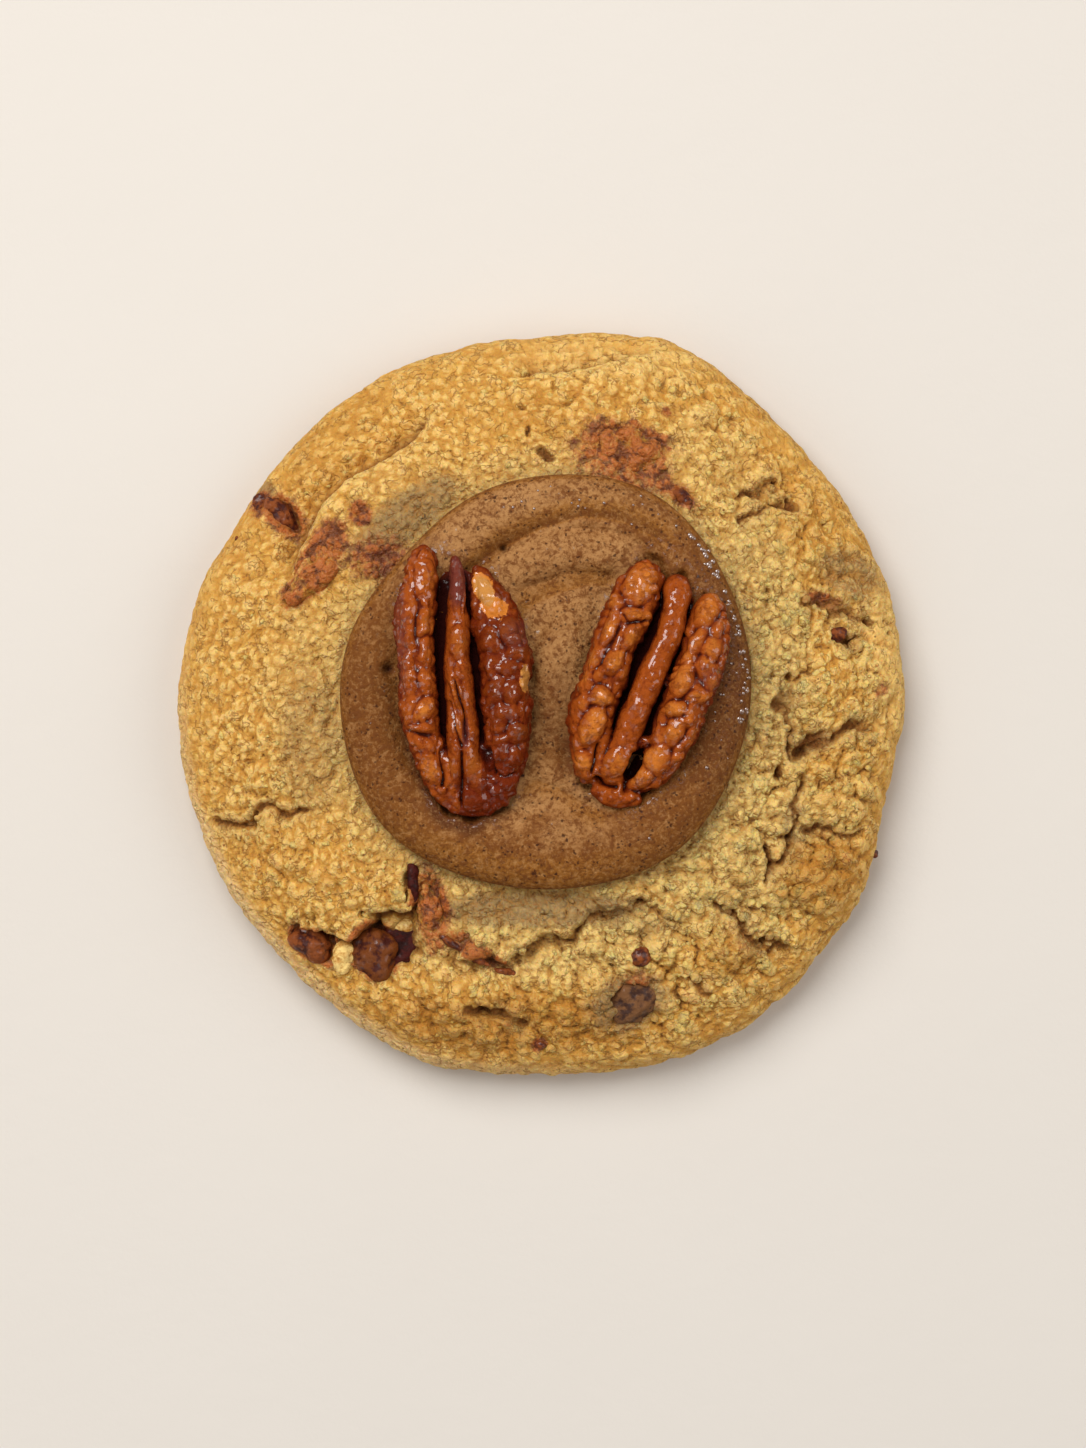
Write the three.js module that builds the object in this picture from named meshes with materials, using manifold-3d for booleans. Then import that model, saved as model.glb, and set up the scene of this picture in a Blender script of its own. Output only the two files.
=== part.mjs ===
// A brown butter pecan cookie: a thick, crumbly round of dough with a fold over its rim, cracks and crags,
// a soft spiral of icing on top, two glazed pecan halves pressed into the icing, and seven lumps of toffee
// and nut that show through the dough.
// Millimetres, +Z up. The origin is on the flat base, under the middle of the cookie. +Y is its far side.

import * as THREE from "three";
import { mergeVertices } from "three/addons/utils/BufferGeometryUtils.js";
import Module from "manifold-3d";

const wasm = await Module();
wasm.setup();

// ---------------------------------------------------------------- driving dimensions

const CLEARANCE = 0.35; // gap between one piece and the next

const COOKIE = {
  radius: 45.7, // mean, seen from above
  waist: 3.8, // height of its widest line above the base
  crown: 11.2, // rise from the widest line to the middle of the top
  fullness: 2.3, // how square its shoulder is: 2 would be an ellipse
  tuck: 1.5, // how far the base draws in under the widest line
  // Bulges and dents of the outline: bearing and spread in degrees, and how far out.
  outline: [
    { bearing: 73, spread: 17, out: 2.6 },
    { bearing: 252, spread: 14, out: 1.5 },
    { bearing: 300, spread: 26, out: 2.2 },
    { bearing: 346, spread: 9, out: -1.2 },
    { bearing: 155, spread: 18, out: -0.7 },
    { bearing: 122, spread: 8, out: 0.4 },
  ],
};

const ICING = {
  centre: [0.5, 2.5],
  radius: 25.5,
  edge: 1.0, // height of its widest line above the dough
  rim: 3.7, // height of the ring's crest above the dough
  dish: 2.2, // height of the dished middle above the dough
  ringHalf: 3.3, // from the outline to the ring's crest, at the ring's narrowest
  ringFoot: 3.0, // from the crest down to the dish
  outline: [
    { bearing: 60, spread: 24, out: 1.5 },
    { bearing: -52, spread: 20, out: 0.9 },
    { bearing: -138, spread: 24, out: 1.3 },
    { bearing: 138, spread: 26, out: -1.9 },
  ],
  broad: { bearing: -88, spread: 42, out: 1.4 }, // where the ring is broader
  // The inner turn of the spiral, and the dab that ends it.
  coil: { path: [[-8, 13.5], [-3, 17], [3, 19], [9.5, 18.6], [14, 15]], half: 2.6, high: 1.3 },
  dab: { path: [[8.5, 11.5], [4, 9.5], [2, 5], [2.2, 0], [1.5, -9]], half: 3.2, high: 1.2 },
};

// A path is a list of points [x, y], seen from above.

// Folds, where the dough on the right-hand side of the path rides over the dough on its left.
const FOLDS = [
  {
    path: [[-32, 12.5], [-30.6, 19.4], [-28.2, 24.6], [-24.8, 28], [-19.8, 30.6], [-16, 33.4], [-12.8, 37.4]],
    rise: 1.6,
    sink: 2.7,
    shelf: 1.4,
  },
  { path: [[-5, 41], [2.6, 41.8], [9.3, 43.2], [15, 44.6]], rise: 0.7, sink: 1.7, shelf: 0.9 },
  {
    path: [[-15.6, -20.5], [-16.6, -25], [-20.7, -26.8], [-24.2, -29.6], [-28.4, -27.4], [-33.4, -27.6]],
    rise: 0.8,
    sink: 2.2,
    shelf: 0,
  },
  {
    path: [[18, -26], [12, -25.4], [6, -26.6], [0, -30], [-5.1, -33.2], [-9.8, -31.6], [-12.6, -28.4]],
    rise: 0.5,
    sink: 1.3,
    shelf: 0,
  },
];

// Cracks in the crust.
const CRACKS = [
  { path: [[-42, -13.4], [-38.2, -16.2], [-35, -13.6], [-31.2, -13.5], [-27, -11.6]], deep: 2.3, half: 1 },
  { path: [[30.8, 3.6], [30.2, -1], [31.6, -6], [36, -4.4], [39, -2.6], [42.6, -2.5]], deep: 2, half: 1.2 },
  { path: [[31.6, -7], [32.3, -13.5], [31, -18.3], [28.6, -21.6], [28, -24]], deep: 2, half: 0.9 },
  { path: [[32.6, -15.5], [37.2, -15.2], [39.4, -16.8]], deep: 1.6, half: 0.9 },
  { path: [[21.6, -24], [25.3, -26.8], [27.2, -30.2], [31.5, -30.2]], deep: 2.2, half: 1.1 },
  { path: [[24.6, 22.6], [28.4, 24.9], [31.8, 24.3]], deep: 1.8, half: 1.0 },
  { path: [[25.6, 26.2], [29.2, 27.4]], deep: 1.6, half: 0.9 },
  { path: [[32.4, 14], [36.4, 12.3], [41.8, 10]], deep: 1.4, half: 1.0 },
  { path: [[36.5, 8.4], [40.4, 7.4]], deep: 1.4, half: 1.1 },
  { path: [[-7.4, -37.6], [-5, -39.4], [-1, -41]], deep: 2.4, half: 1.4 },
  { path: [[18.4, -33.6], [21.8, -36.6]], deep: 1.2, half: 0.9 },
];

// Swellings, and hollows where high is below 0.
const SWELLS = [
  { at: [34.8, -21.6], half: 5.6, high: 1.5 },
  { at: [36.4, -10.4], half: 4.6, high: 1.1 },
  { at: [35.4, 1.4], half: 4.4, high: 0.9 },
  { at: [30.4, 19.2], half: 4.6, high: 1.2 },
  { at: [23.4, -30.6], half: 3.8, high: 1.2 },
  { at: [6.5, -36], half: 5, high: 0.8 },
  { at: [-10, -37], half: 4.6, high: 1.1 },
  { at: [-27, -20], half: 7, high: 1.1 },
  { at: [-32.5, -3.4], half: 7, high: 0.9 },
  { at: [-38, 14], half: 4, high: 0.6 },
  { at: [-22.6, 27], half: 5, high: 0.8 },
  { at: [7, 38.6], half: 6, high: 0.6 },
  { at: [-18.6, -29.4], half: 3.6, high: -1.6 },
];

// How craggy the crust is, from 0 to 1, round the cookie: the right side is broken, the far left smooth.
const CRAGS = { pitch: 6.4, high: 1.7, least: 0.35, most: 1, bearing: -35, spread: 80 };

// Lumps in the dough: half sizes are along, across and up, turn is in degrees, lift is from the dough up.
const LUMPS = [
  { name: "toffee_lump_back", at: [10.9, 31.4], half: [4.8, 3.1, 2], turn: -24, lift: -0.8 },
  { name: "toffee_lump_left", at: [-27.8, 16.8], half: [5, 2.1, 1.9], turn: 52, lift: -0.8 },
  { name: "toffee_lump_front", at: [-13.9, -25.4], half: [3.9, 2.2, 2], turn: 100, lift: -0.3 },
  { name: "nut_piece_rim", at: [-33, 24.1], half: [3.4, 2.2, 1.8], turn: -42, lift: -0.6 },
  { name: "nut_piece_front_left", at: [-28.7, -30], half: [3.2, 2.3, 2], turn: -28, lift: -0.3 },
  { name: "nut_piece_front", at: [-19.6, -31.2], half: [4.1, 3.3, 2.1], turn: -30, lift: -0.4 },
  { name: "nut_piece_base_side", at: [11.4, -37], half: [3.6, 2.6, 1.9], turn: 22, lift: -0.6 },
];

// Pecan halves. A lobe is a list of [x, y, half width, height of its crest], from the far end to the near one.
const PECAN_BED = 16.7; // height of the lowest point of both nuts
const PECANS = [
  {
    name: "pecan_half_left",
    lobes: {
      left: [[-14.2, 19.4, 1.9, 20.8], [-15.2, 12, 2.3, 22.4], [-15.3, 4, 2.3, 23], [-14.2, -4.5, 2.3, 22.5],
        [-10.6, -12.4, 2.4, 20.6]],
      ridge: [[-10.2, 18.1, 0.9, 20.8], [-9.9, 10, 1.4, 22.2], [-9.8, 2, 1.7, 22.8], [-9.6, -5, 1.9, 22.3],
        [-8.6, -13.6, 2.1, 20.4]],
      right: [[-7.7, 16.2, 1.3, 20.4], [-5.2, 9.6, 2.8, 22.3], [-4.4, 3, 3, 23], [-4.7, -4, 2.8, 22.5],
        [-6.4, -12.2, 2.3, 20.5]],
    },
    heel: { at: [-8.3, -8.8], half: [5.7, 5.2], top: 21.4 },
    belly: { at: [-9.8, 2.4], half: [6.9, 14.5], turn: 6, top: 21 },
  },
  {
    name: "pecan_half_right",
    lobes: {
      left: [[13.4, 17, 2.1, 20.6], [10.4, 11, 2.8, 22.2], [7.6, 3.6, 2.8, 22.9], [5.8, -3, 2.6, 22.3],
        [5.8, -9.6, 2.1, 20.4]],
      ridge: [[17.3, 15.4, 1.3, 20.6], [15.3, 9.2, 1.4, 22.1], [12.8, 2.4, 1.6, 22.6], [10.3, -4, 1.7, 22.2],
        [8.2, -9.6, 1.8, 20.5]],
      right: [[20.9, 13.2, 1.8, 20.2], [20, 7, 2.7, 21.9], [17.5, 0.4, 2.7, 22.5], [14.5, -6, 2.5, 21.9],
        [10.8, -11.8, 2.1, 20]],
    },
    heel: { at: [9.4, -10.6], half: [3.8, 2.8], top: 20.2 },
    belly: { at: [12.8, 1.8], half: [6.4, 13], turn: -20, top: 20.8 },
  },
];

const LOOKS = {
  dough: { color: 0xd6a35a, roughness: 0.85 },
  icing: { color: 0x96643b, roughness: 0.4 },
  pecan: { color: 0x8f451f, roughness: 0.25 },
  toffee: { color: 0x8e4c2a, roughness: 0.4 },
  nutPiece: { color: 0x70381f, roughness: 0.5 },
};

// Fineness of the meshes: steps round, and along.
const COOKIE_STEPS = { round: 144, hidden: [12, 21.5], along: 19 };
const ICING_STEPS = { round: 60, along: 12, under: [0.96, 0.6] };
const LOBE_STEPS = { round: 10, along: 12 };
const EGG_STEPS = { round: 14, along: 8 };
const LUMP_STEPS = { round: 10, along: 6 };

// ---------------------------------------------------------------- small maths

const RADIAN = Math.PI / 180;
const lerp = THREE.MathUtils.lerp;
const smooth = THREE.MathUtils.smoothstep;
const hill = (distance, half) => Math.exp(-((distance / half) ** 2));
const squarish = (share) => Math.sign(share) * Math.abs(share) ** 0.72; // fills out a round section

// The smallest angle between two bearings, in degrees.
const apart = (a, b) => Math.abs(((a - b + 540) % 360) - 180);

// How far an outline is from its centre at a bearing: a circle with soft bulges and dents.
function outlineRadius(shape, bearing) {
  return shape.outline.reduce((r, o) => r + o.out * hill(apart(bearing, o.bearing), o.spread), shape.radius);
}

const bearingOf = (x, y) => (Math.atan2(y, x) / RADIAN + 360) % 360;

// Where the point lies by a path: its distance, positive on the path's right, and its share of the way along.
function byPath(path, x, y) {
  let best = { distance: Infinity, side: 1, along: 0 };
  for (let i = 0; i + 1 < path.length; i++) {
    const [ax, ay] = path[i];
    const [bx, by] = path[i + 1];
    const dx = bx - ax;
    const dy = by - ay;
    const t = THREE.MathUtils.clamp(((x - ax) * dx + (y - ay) * dy) / (dx * dx + dy * dy), 0, 1);
    const distance = Math.hypot(x - ax - t * dx, y - ay - t * dy);
    if (distance < best.distance) {
      const side = dx * (y - ay) - dy * (x - ax) > 0 ? -1 : 1;
      best = { distance, side, along: (i + t) / (path.length - 1) };
    }
  }
  return best;
}

// 1 along most of a path, falling to 0 at both ends.
const fadeEnds = (along, share) => smooth(along, 0, share) * smooth(1 - along, 0, share);

// A repeatable number from 0 to 1 for a cell of the plane.
function chance(i, j, salt) {
  const wave = Math.sin(i * 127.1 + j * 311.7 + salt * 74.7) * 43758.5453;
  return wave - Math.floor(wave);
}

// Rounded lumps packed side by side: about 1 in the middle of a lump, 0 in the seam between two.
function packed(x, y, pitch, salt) {
  const u = x / pitch;
  const v = y / pitch;
  let nearest = 9;
  let second = 9;
  for (let i = Math.floor(u) - 1; i <= Math.floor(u) + 1; i++) {
    for (let j = Math.floor(v) - 1; j <= Math.floor(v) + 1; j++) {
      const d = Math.hypot(i + chance(i, j, salt) - u, j + chance(i, j, salt + 1) - v);
      second = Math.min(second, Math.max(nearest, d));
      nearest = Math.min(nearest, d);
    }
  }
  return 1 - Math.exp(-3 * (second - nearest));
}

// ---------------------------------------------------------------- solids from rows of points

// The distance between a point of one ring and a point of another.
function span(ring, k, other, m) {
  const [ax, ay, az] = ring[k % ring.length];
  const [bx, by, bz] = other[m % other.length];
  return Math.hypot(ax - bx, ay - by, az - bz);
}

// A closed skin from rings of points, the first and last of which are single points. The rings run
// counterclockwise, seen from outside the first point. A four-sided face is split along its shorter diagonal.
function skinOf(rings) {
  const points = [];
  const starts = [];
  for (const ring of rings) {
    starts.push(points.length / 3);
    for (const p of ring) points.push(...p);
  }
  const faces = [];
  for (let i = 0; i + 1 < rings.length; i++) {
    const above = rings[i];
    const below = rings[i + 1];
    const upper = (k) => starts[i] + (k % above.length);
    const lower = (k) => starts[i + 1] + (k % below.length);
    for (let k = 0; k < Math.max(above.length, below.length); k++) {
      if (below.length === 1) faces.push(upper(k), lower(k), upper(k + 1));
      else if (above.length === 1) faces.push(upper(k), lower(k), lower(k + 1));
      else if (span(above, k, below, k + 1) < span(above, k + 1, below, k)) {
        faces.push(upper(k), lower(k), lower(k + 1), upper(k), lower(k + 1), upper(k + 1));
      } else {
        faces.push(upper(k), lower(k), upper(k + 1), upper(k + 1), lower(k), lower(k + 1));
      }
    }
  }
  const geometry = new THREE.BufferGeometry();
  geometry.setAttribute("position", new THREE.Float32BufferAttribute(points, 3));
  geometry.setIndex(faces);
  return geometry;
}

function solidOf(geometry) {
  const merged = mergeVertices(geometry, 1e-4);
  return new wasm.Manifold(
    new wasm.Mesh({
      numProp: 3,
      vertProperties: new Float32Array(merged.attributes.position.array),
      triVerts: new Uint32Array(merged.index.array),
    }),
  );
}

function meshOf(name, solid, look) {
  const { vertProperties, triVerts } = solid.getMesh();
  const geometry = new THREE.BufferGeometry();
  geometry.setAttribute("position", new THREE.BufferAttribute(vertProperties, 3));
  geometry.setIndex(new THREE.BufferAttribute(triVerts, 1));
  const mesh = new THREE.Mesh(geometry, new THREE.MeshStandardMaterial({ metalness: 0, ...look }));
  mesh.name = name;
  return mesh;
}

// A ring of points: place(bearing) gives each one.
function ringOf(count, place) {
  return Array.from({ length: count }, (_, k) => place((k * 360) / count));
}

// An egg: half sizes along its own x, y and z, turned about z, with some of its surface pushed in and out.
function eggSolid({ at, half, turn = 0, steps, rough = 0, salt = 0 }) {
  const rings = [];
  const spin = turn * RADIAN;
  for (let i = 0; i <= steps.along; i++) {
    const tilt = (i * Math.PI) / steps.along;
    const place = (bearing) => {
      const u = Math.sin(tilt) * Math.cos(bearing * RADIAN);
      const v = Math.sin(tilt) * Math.sin(bearing * RADIAN);
      const w = Math.cos(tilt);
      const swell = 1 + rough * (packed(2 * u + w, 2 * v - w, 0.9, salt) - 0.6);
      const [a, b, c] = half.map((size, axis) => size * swell * [u, v, w][axis]);
      const along = a * Math.cos(spin) - b * Math.sin(spin);
      const across = a * Math.sin(spin) + b * Math.cos(spin);
      return [at[0] + along, at[1] + across, at[2] + c];
    };
    const pole = i === 0 || i === steps.along;
    rings.push(pole ? [place(0)] : ringOf(steps.round, place));
  }
  return solidOf(skinOf(rings));
}

// ---------------------------------------------------------------- the dough

// The plain dome of the dough, before its relief. The icing lies on it.
function domeHeight(x, y) {
  const share = Math.min(1, Math.hypot(x, y) / outlineRadius(COOKIE, bearingOf(x, y)));
  return COOKIE.waist + COOKIE.crown * (1 - share ** COOKIE.fullness) ** (1 / COOKIE.fullness);
}

// How far outside the icing's outline a point is.
function outsideIcing(x, y) {
  const dx = x - ICING.centre[0];
  const dy = y - ICING.centre[1];
  return Math.hypot(dx, dy) - outlineRadius(ICING, bearingOf(dx, dy));
}

function foldRelief(fold, x, y) {
  const { distance, side, along } = byPath(fold.path, x, y);
  const ends = fadeEnds(along, 0.2);
  if (side > 0) return ends * (lerp(-fold.sink, fold.rise, smooth(distance, 0, 2)) * hill(distance, 9));
  return ends * (-fold.sink * hill(distance, 3) - fold.shelf * hill(distance, 11) * smooth(distance, 0, 2));
}

function crackRelief(crack, x, y) {
  const { distance, along } = byPath(crack.path, x, y);
  return -crack.deep * hill(distance, crack.half) * fadeEnds(along, 0.12);
}

function cragRelief(x, y, z) {
  const near = hill(apart(bearingOf(x, y), CRAGS.bearing), CRAGS.spread);
  const high = CRAGS.high * lerp(CRAGS.least, CRAGS.most, near);
  return high * (packed(x + 0.9 * z, y - 0.8 * z, CRAGS.pitch, 3) - 0.55);
}

// The relief of the crust, in and out along its normal. It dies away under the icing and at the base.
function doughRelief(x, y, z) {
  let relief = cragRelief(x, y, z);
  for (const fold of FOLDS) relief += foldRelief(fold, x, y);
  for (const crack of CRACKS) relief += crackRelief(crack, x, y);
  for (const { at, half, high } of SWELLS) relief += high * hill(Math.hypot(x - at[0], y - at[1]), half);
  return relief * smooth(outsideIcing(x, y), 0.3, 3) * smooth(z, 0.4, 3.5);
}

// Heights and reaches of the dome's profile, from a share of its radius down to the base, evenly spaced.
function doughProfile(firstShare, count) {
  const fine = [];
  const samples = 400;
  const first = Math.acos((1 - firstShare ** COOKIE.fullness) ** 0.5);
  for (let i = 0; i <= samples; i++) {
    const a = lerp(first, Math.PI / 2, i / samples);
    const share = Math.sin(a) ** (2 / COOKIE.fullness);
    fine.push({ share, inset: 0, z: COOKIE.waist + COOKIE.crown * Math.cos(a) ** (2 / COOKIE.fullness) });
  }
  for (let i = 1; i <= samples / 4; i++) {
    const a = (i / (samples / 4)) * (Math.PI / 2);
    fine.push({ share: 1, inset: COOKIE.tuck * (1 - Math.cos(a)), z: COOKIE.waist * (1 - Math.sin(a)) });
  }
  const reach = (p) => p.share * COOKIE.radius - p.inset;
  const lengths = [0];
  for (let i = 1; i < fine.length; i++) {
    lengths.push(lengths[i - 1] + Math.hypot(reach(fine[i]) - reach(fine[i - 1]), fine[i].z - fine[i - 1].z));
  }
  const total = lengths.at(-1);
  return Array.from({ length: count + 1 }, (_, k) => {
    const wanted = (k / count) * total;
    return fine[Math.min(fine.length - 1, lengths.findIndex((l) => l >= wanted - 1e-9))];
  });
}

function doughSolid() {
  const { round, hidden, along } = COOKIE_STEPS;
  const rings = [[[0, 0, domeHeight(0, 0)]]];
  for (const reach of hidden) {
    rings.push(
      ringOf(round, (bearing) => {
        const x = reach * Math.cos(bearing * RADIAN);
        const y = reach * Math.sin(bearing * RADIAN);
        return [x, y, domeHeight(x, y)];
      }),
    );
  }
  const firstShown = hidden.at(-1) + 1.6;
  for (const { share, inset, z } of doughProfile(firstShown / COOKIE.radius, along)) {
    rings.push(
      ringOf(round, (bearing) => {
        const reach = outlineRadius(COOKIE, bearing) * share - inset;
        const cos = Math.cos(bearing * RADIAN);
        const sin = Math.sin(bearing * RADIAN);
        const relief = doughRelief(reach * cos, reach * sin, z);
        // The superellipse's normal, leaning from straight up on top to straight out at the widest line.
        const out = share ** (COOKIE.fullness - 1) / COOKIE.radius;
        const up = Math.max(0, (z - COOKIE.waist) / COOKIE.crown) ** (COOKIE.fullness - 1) / COOKIE.crown;
        const length = Math.hypot(out, up);
        const moved = reach + (relief * out) / length;
        return [moved * cos, moved * sin, z + (relief * up) / length];
      }),
    );
  }
  rings.push([[0, 0, 0]]);
  return solidOf(skinOf(rings));
}

// ---------------------------------------------------------------- the lumps in the dough

// A lump sits half sunk where the dough's own surface is. grow makes the pocket that it lies in.
function lumpSolid(lump, grow) {
  const [x, y] = lump.at;
  const z = domeHeight(x, y) + doughRelief(x, y, domeHeight(x, y)) + lump.lift;
  return eggSolid({
    at: [x, y, z],
    half: lump.half.map((size) => size + grow),
    turn: lump.turn,
    steps: LUMP_STEPS,
    rough: 0.34,
    salt: x,
  });
}

// ---------------------------------------------------------------- the icing

// How far the icing's top is above the dough, at a point and a distance inside its outline.
function icingHeight(x, y, inside, bearing) {
  const { broad } = ICING;
  const half = ICING.ringHalf + broad.out * hill(apart(bearing, broad.bearing), broad.spread);
  if (inside < half) {
    const out = 1 - inside / half;
    return lerp(ICING.edge, ICING.rim, Math.sqrt(Math.max(0, 1 - out * out)));
  }
  let high = lerp(ICING.dish, ICING.rim, hill(inside - half, ICING.ringFoot));
  for (const turn of [ICING.coil, ICING.dab]) {
    const { distance, along } = byPath(turn.path, x, y);
    high += turn.high * hill(distance, turn.half) * fadeEnds(along, 0.25) * smooth(inside - half, 0, 3);
  }
  return high;
}

function icingSolid() {
  const { round, along, under } = ICING_STEPS;
  const [cx, cy] = ICING.centre;
  const bed = (x, y) => domeHeight(x, y) + CLEARANCE;
  const rings = [[[cx, cy, bed(cx, cy) + icingHeight(cx, cy, ICING.radius, 0)]]];
  const place = (bearing, reach, height) => {
    const x = cx + reach * Math.cos(bearing * RADIAN);
    const y = cy + reach * Math.sin(bearing * RADIAN);
    return [x, y, bed(x, y) + height(x, y)];
  };
  for (let i = 1; i <= along; i++) {
    // Rings crowd together towards the edge, where the icing rounds over.
    const share = Math.sin(((i / along) * Math.PI) / 2) ** 0.9;
    rings.push(
      ringOf(round, (bearing) => {
        const edge = outlineRadius(ICING, bearing);
        return place(bearing, edge * share, (x, y) => icingHeight(x, y, edge * (1 - share), bearing));
      }),
    );
  }
  for (const share of under) {
    rings.push(ringOf(round, (bearing) => place(bearing, outlineRadius(ICING, bearing) * share, () => 0)));
  }
  rings.push([[cx, cy, bed(cx, cy)]]);
  return solidOf(skinOf(rings));
}

// ---------------------------------------------------------------- the pecan halves

// A lobe of a nut: a rod that follows the stations, with rounded ends and crosswise furrows on its back.
function lobeSolid(stations, grow) {
  const spine = new THREE.CatmullRomCurve3(stations.map(([x, y, , crest]) => new THREE.Vector3(x, y, crest)));
  const widths = new THREE.CatmullRomCurve3(stations.map(([, , half], i) => new THREE.Vector3(half, i, 0)));
  const rings = [];
  const { round, along } = LOBE_STEPS;
  for (let i = 0; i <= along; i++) {
    const t = (1 - Math.cos((i / along) * Math.PI)) / 2;
    const middle = spine.getPoint(t);
    const ahead = spine.getTangent(t).setZ(0).normalize();
    const furrow = 1 + 0.09 * Math.sin(t * 31 + stations[0][0]);
    const swell = Math.sqrt(Math.max(0, 1 - Math.abs(2 * t - 1) ** 6));
    const half = (widths.getPoint(t).x * furrow + grow) * swell;
    const tall = ((middle.z - PECAN_BED) / 2 + grow) * swell;
    const centre = (middle.z + PECAN_BED) / 2;
    const stretch = grow * (2 * t - 1); // a grown lobe is longer, too
    const place = (bearing) => {
      const across = half * squarish(Math.cos(bearing * RADIAN));
      const up = tall * squarish(Math.sin(bearing * RADIAN));
      return [
        middle.x + ahead.x * stretch - ahead.y * across,
        middle.y + ahead.y * stretch + ahead.x * across,
        centre + up,
      ];
    };
    rings.push(i === 0 || i === along ? [place(0)] : ringOf(round, place));
  }
  return solidOf(skinOf(rings.reverse()));
}

function pecanSolid(nut, grow) {
  const part = (shape, turn) => {
    const middle = (shape.top + PECAN_BED) / 2;
    return eggSolid({
      at: [...shape.at, middle],
      half: [shape.half[0] + grow, shape.half[1] + grow, (shape.top - PECAN_BED) / 2 + grow],
      turn,
      steps: EGG_STEPS,
    });
  };
  const lobes = Object.values(nut.lobes).map((stations) => lobeSolid(stations, grow));
  const pieces = [part(nut.belly, nut.belly.turn), part(nut.heel, 0), ...lobes];
  return pieces.reduce((whole, piece) => whole.add(piece));
}

// ---------------------------------------------------------------- the whole cookie

let dough = doughSolid();
for (const lump of LUMPS) dough = dough.subtract(lumpSolid(lump, CLEARANCE));

let icing = icingSolid();
for (const nut of PECANS) icing = icing.subtract(pecanSolid(nut, CLEARANCE));

const cookie = new THREE.Group();
cookie.add(meshOf("cookie_dough", dough, LOOKS.dough));
cookie.add(meshOf("icing_spiral", icing, LOOKS.icing));
for (const nut of PECANS) cookie.add(meshOf(nut.name, pecanSolid(nut, 0), LOOKS.pecan));
for (const lump of LUMPS) {
  const look = lump.name.startsWith("toffee") ? LOOKS.toffee : LOOKS.nutPiece;
  cookie.add(meshOf(lump.name, lumpSolid(lump, 0), look));
}

export default cookie;
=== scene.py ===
"""A brown butter pecan cookie: crumbly dough, a spiral of icing, two glazed pecan halves and nut pieces.

Shapes are worked out in millimetres, with +Z up and the flat base at 0, and brought to metres at the end.
"""

import itertools
import math

import bpy
import numpy as np
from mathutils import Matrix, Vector


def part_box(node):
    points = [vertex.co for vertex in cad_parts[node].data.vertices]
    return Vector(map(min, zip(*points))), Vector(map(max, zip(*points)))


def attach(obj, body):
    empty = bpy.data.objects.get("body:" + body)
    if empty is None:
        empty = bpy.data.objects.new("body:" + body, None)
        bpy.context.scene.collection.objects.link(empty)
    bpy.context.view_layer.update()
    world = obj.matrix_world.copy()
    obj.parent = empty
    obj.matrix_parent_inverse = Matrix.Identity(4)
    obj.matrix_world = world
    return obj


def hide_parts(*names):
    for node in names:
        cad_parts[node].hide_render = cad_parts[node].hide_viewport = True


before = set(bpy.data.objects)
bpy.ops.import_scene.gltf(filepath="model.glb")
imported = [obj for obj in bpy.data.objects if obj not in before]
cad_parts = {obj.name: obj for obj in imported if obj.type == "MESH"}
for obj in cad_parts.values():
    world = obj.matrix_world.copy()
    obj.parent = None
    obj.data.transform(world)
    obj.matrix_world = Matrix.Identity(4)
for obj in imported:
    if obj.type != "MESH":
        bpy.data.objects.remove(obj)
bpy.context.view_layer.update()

MM = 0.001
BODY = "root"

# ---------------------------------------------------------------- sizes of the solids that the pieces dress

COOKIE = {
    "radius": 45.7,
    "waist": 3.8,  # height of its widest line
    "crown": 11.2,  # rise from there to the middle of the top
    "fullness": 2.3,
    "tuck": 1.5,  # how far the base draws in
    # bearing, spread and reach of each bulge or dent of the outline
    "outline": [
        (73, 17, 2.6), (252, 14, 1.5), (300, 26, 2.2), (346, 9, -1.2), (155, 18, -0.7), (122, 8, 0.4),
    ],
}
ICING = {
    "centre": (0.5, 2.5),
    "radius": 25.5,
    "bed": 0.35,  # gap between the dough and the icing
    "edge": 1.0,  # height of its widest line above its bed
    "rim": 3.7,  # height of the ring's crest
    "dish": 2.2,  # height of the dished middle
    "ring_half": 3.3,
    "outline": [(60, 24, 1.5), (-52, 20, 0.9), (-138, 24, 1.3), (138, 26, -1.9)],
    "broad": (-88, 42, 1.4),
    "coil": {"path": [(-8, 13.5), (-3, 17), (3, 19), (9.5, 18.6), (14, 15)], "half": 2.9, "high": 1.3},
    "dab": {"path": [(8.5, 11.5), (4, 9.5), (2, 5), (2.2, 0), (1.5, -9)], "half": 3.4, "high": 1.2},
}
# Where the dough on the right-hand side of a path rides over the dough on its left: path, rise, sink, shelf.
# How wide the lip is that rounds over, and how ragged it is, come last.
FOLDS = [
    ([(-32, 12.5), (-30.6, 19.4), (-28.2, 24.6), (-24.8, 28), (-19.8, 30.6), (-16, 33.4), (-12.8, 37.4)],
     1.6, 2.7, 1.4, 3.2, 0.2),
    ([(-5, 41), (2.6, 41.8), (9.3, 43.2), (15, 44.6)], 0.7, 1.7, 0.9, 2, 0.3),
    ([(-15.6, -20.5), (-16.6, -25), (-20.7, -26.8), (-24.2, -29.6), (-28.4, -27.4), (-33.4, -27.6)],
     0.8, 2.2, 0, 0.7, 1.2),
    ([(18, -26), (12, -25.4), (6, -26.6), (0, -30), (-5.1, -33.2), (-9.8, -31.6), (-12.6, -28.4)],
     0.5, 1.3, 0, 1.2, 1),
]
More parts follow.
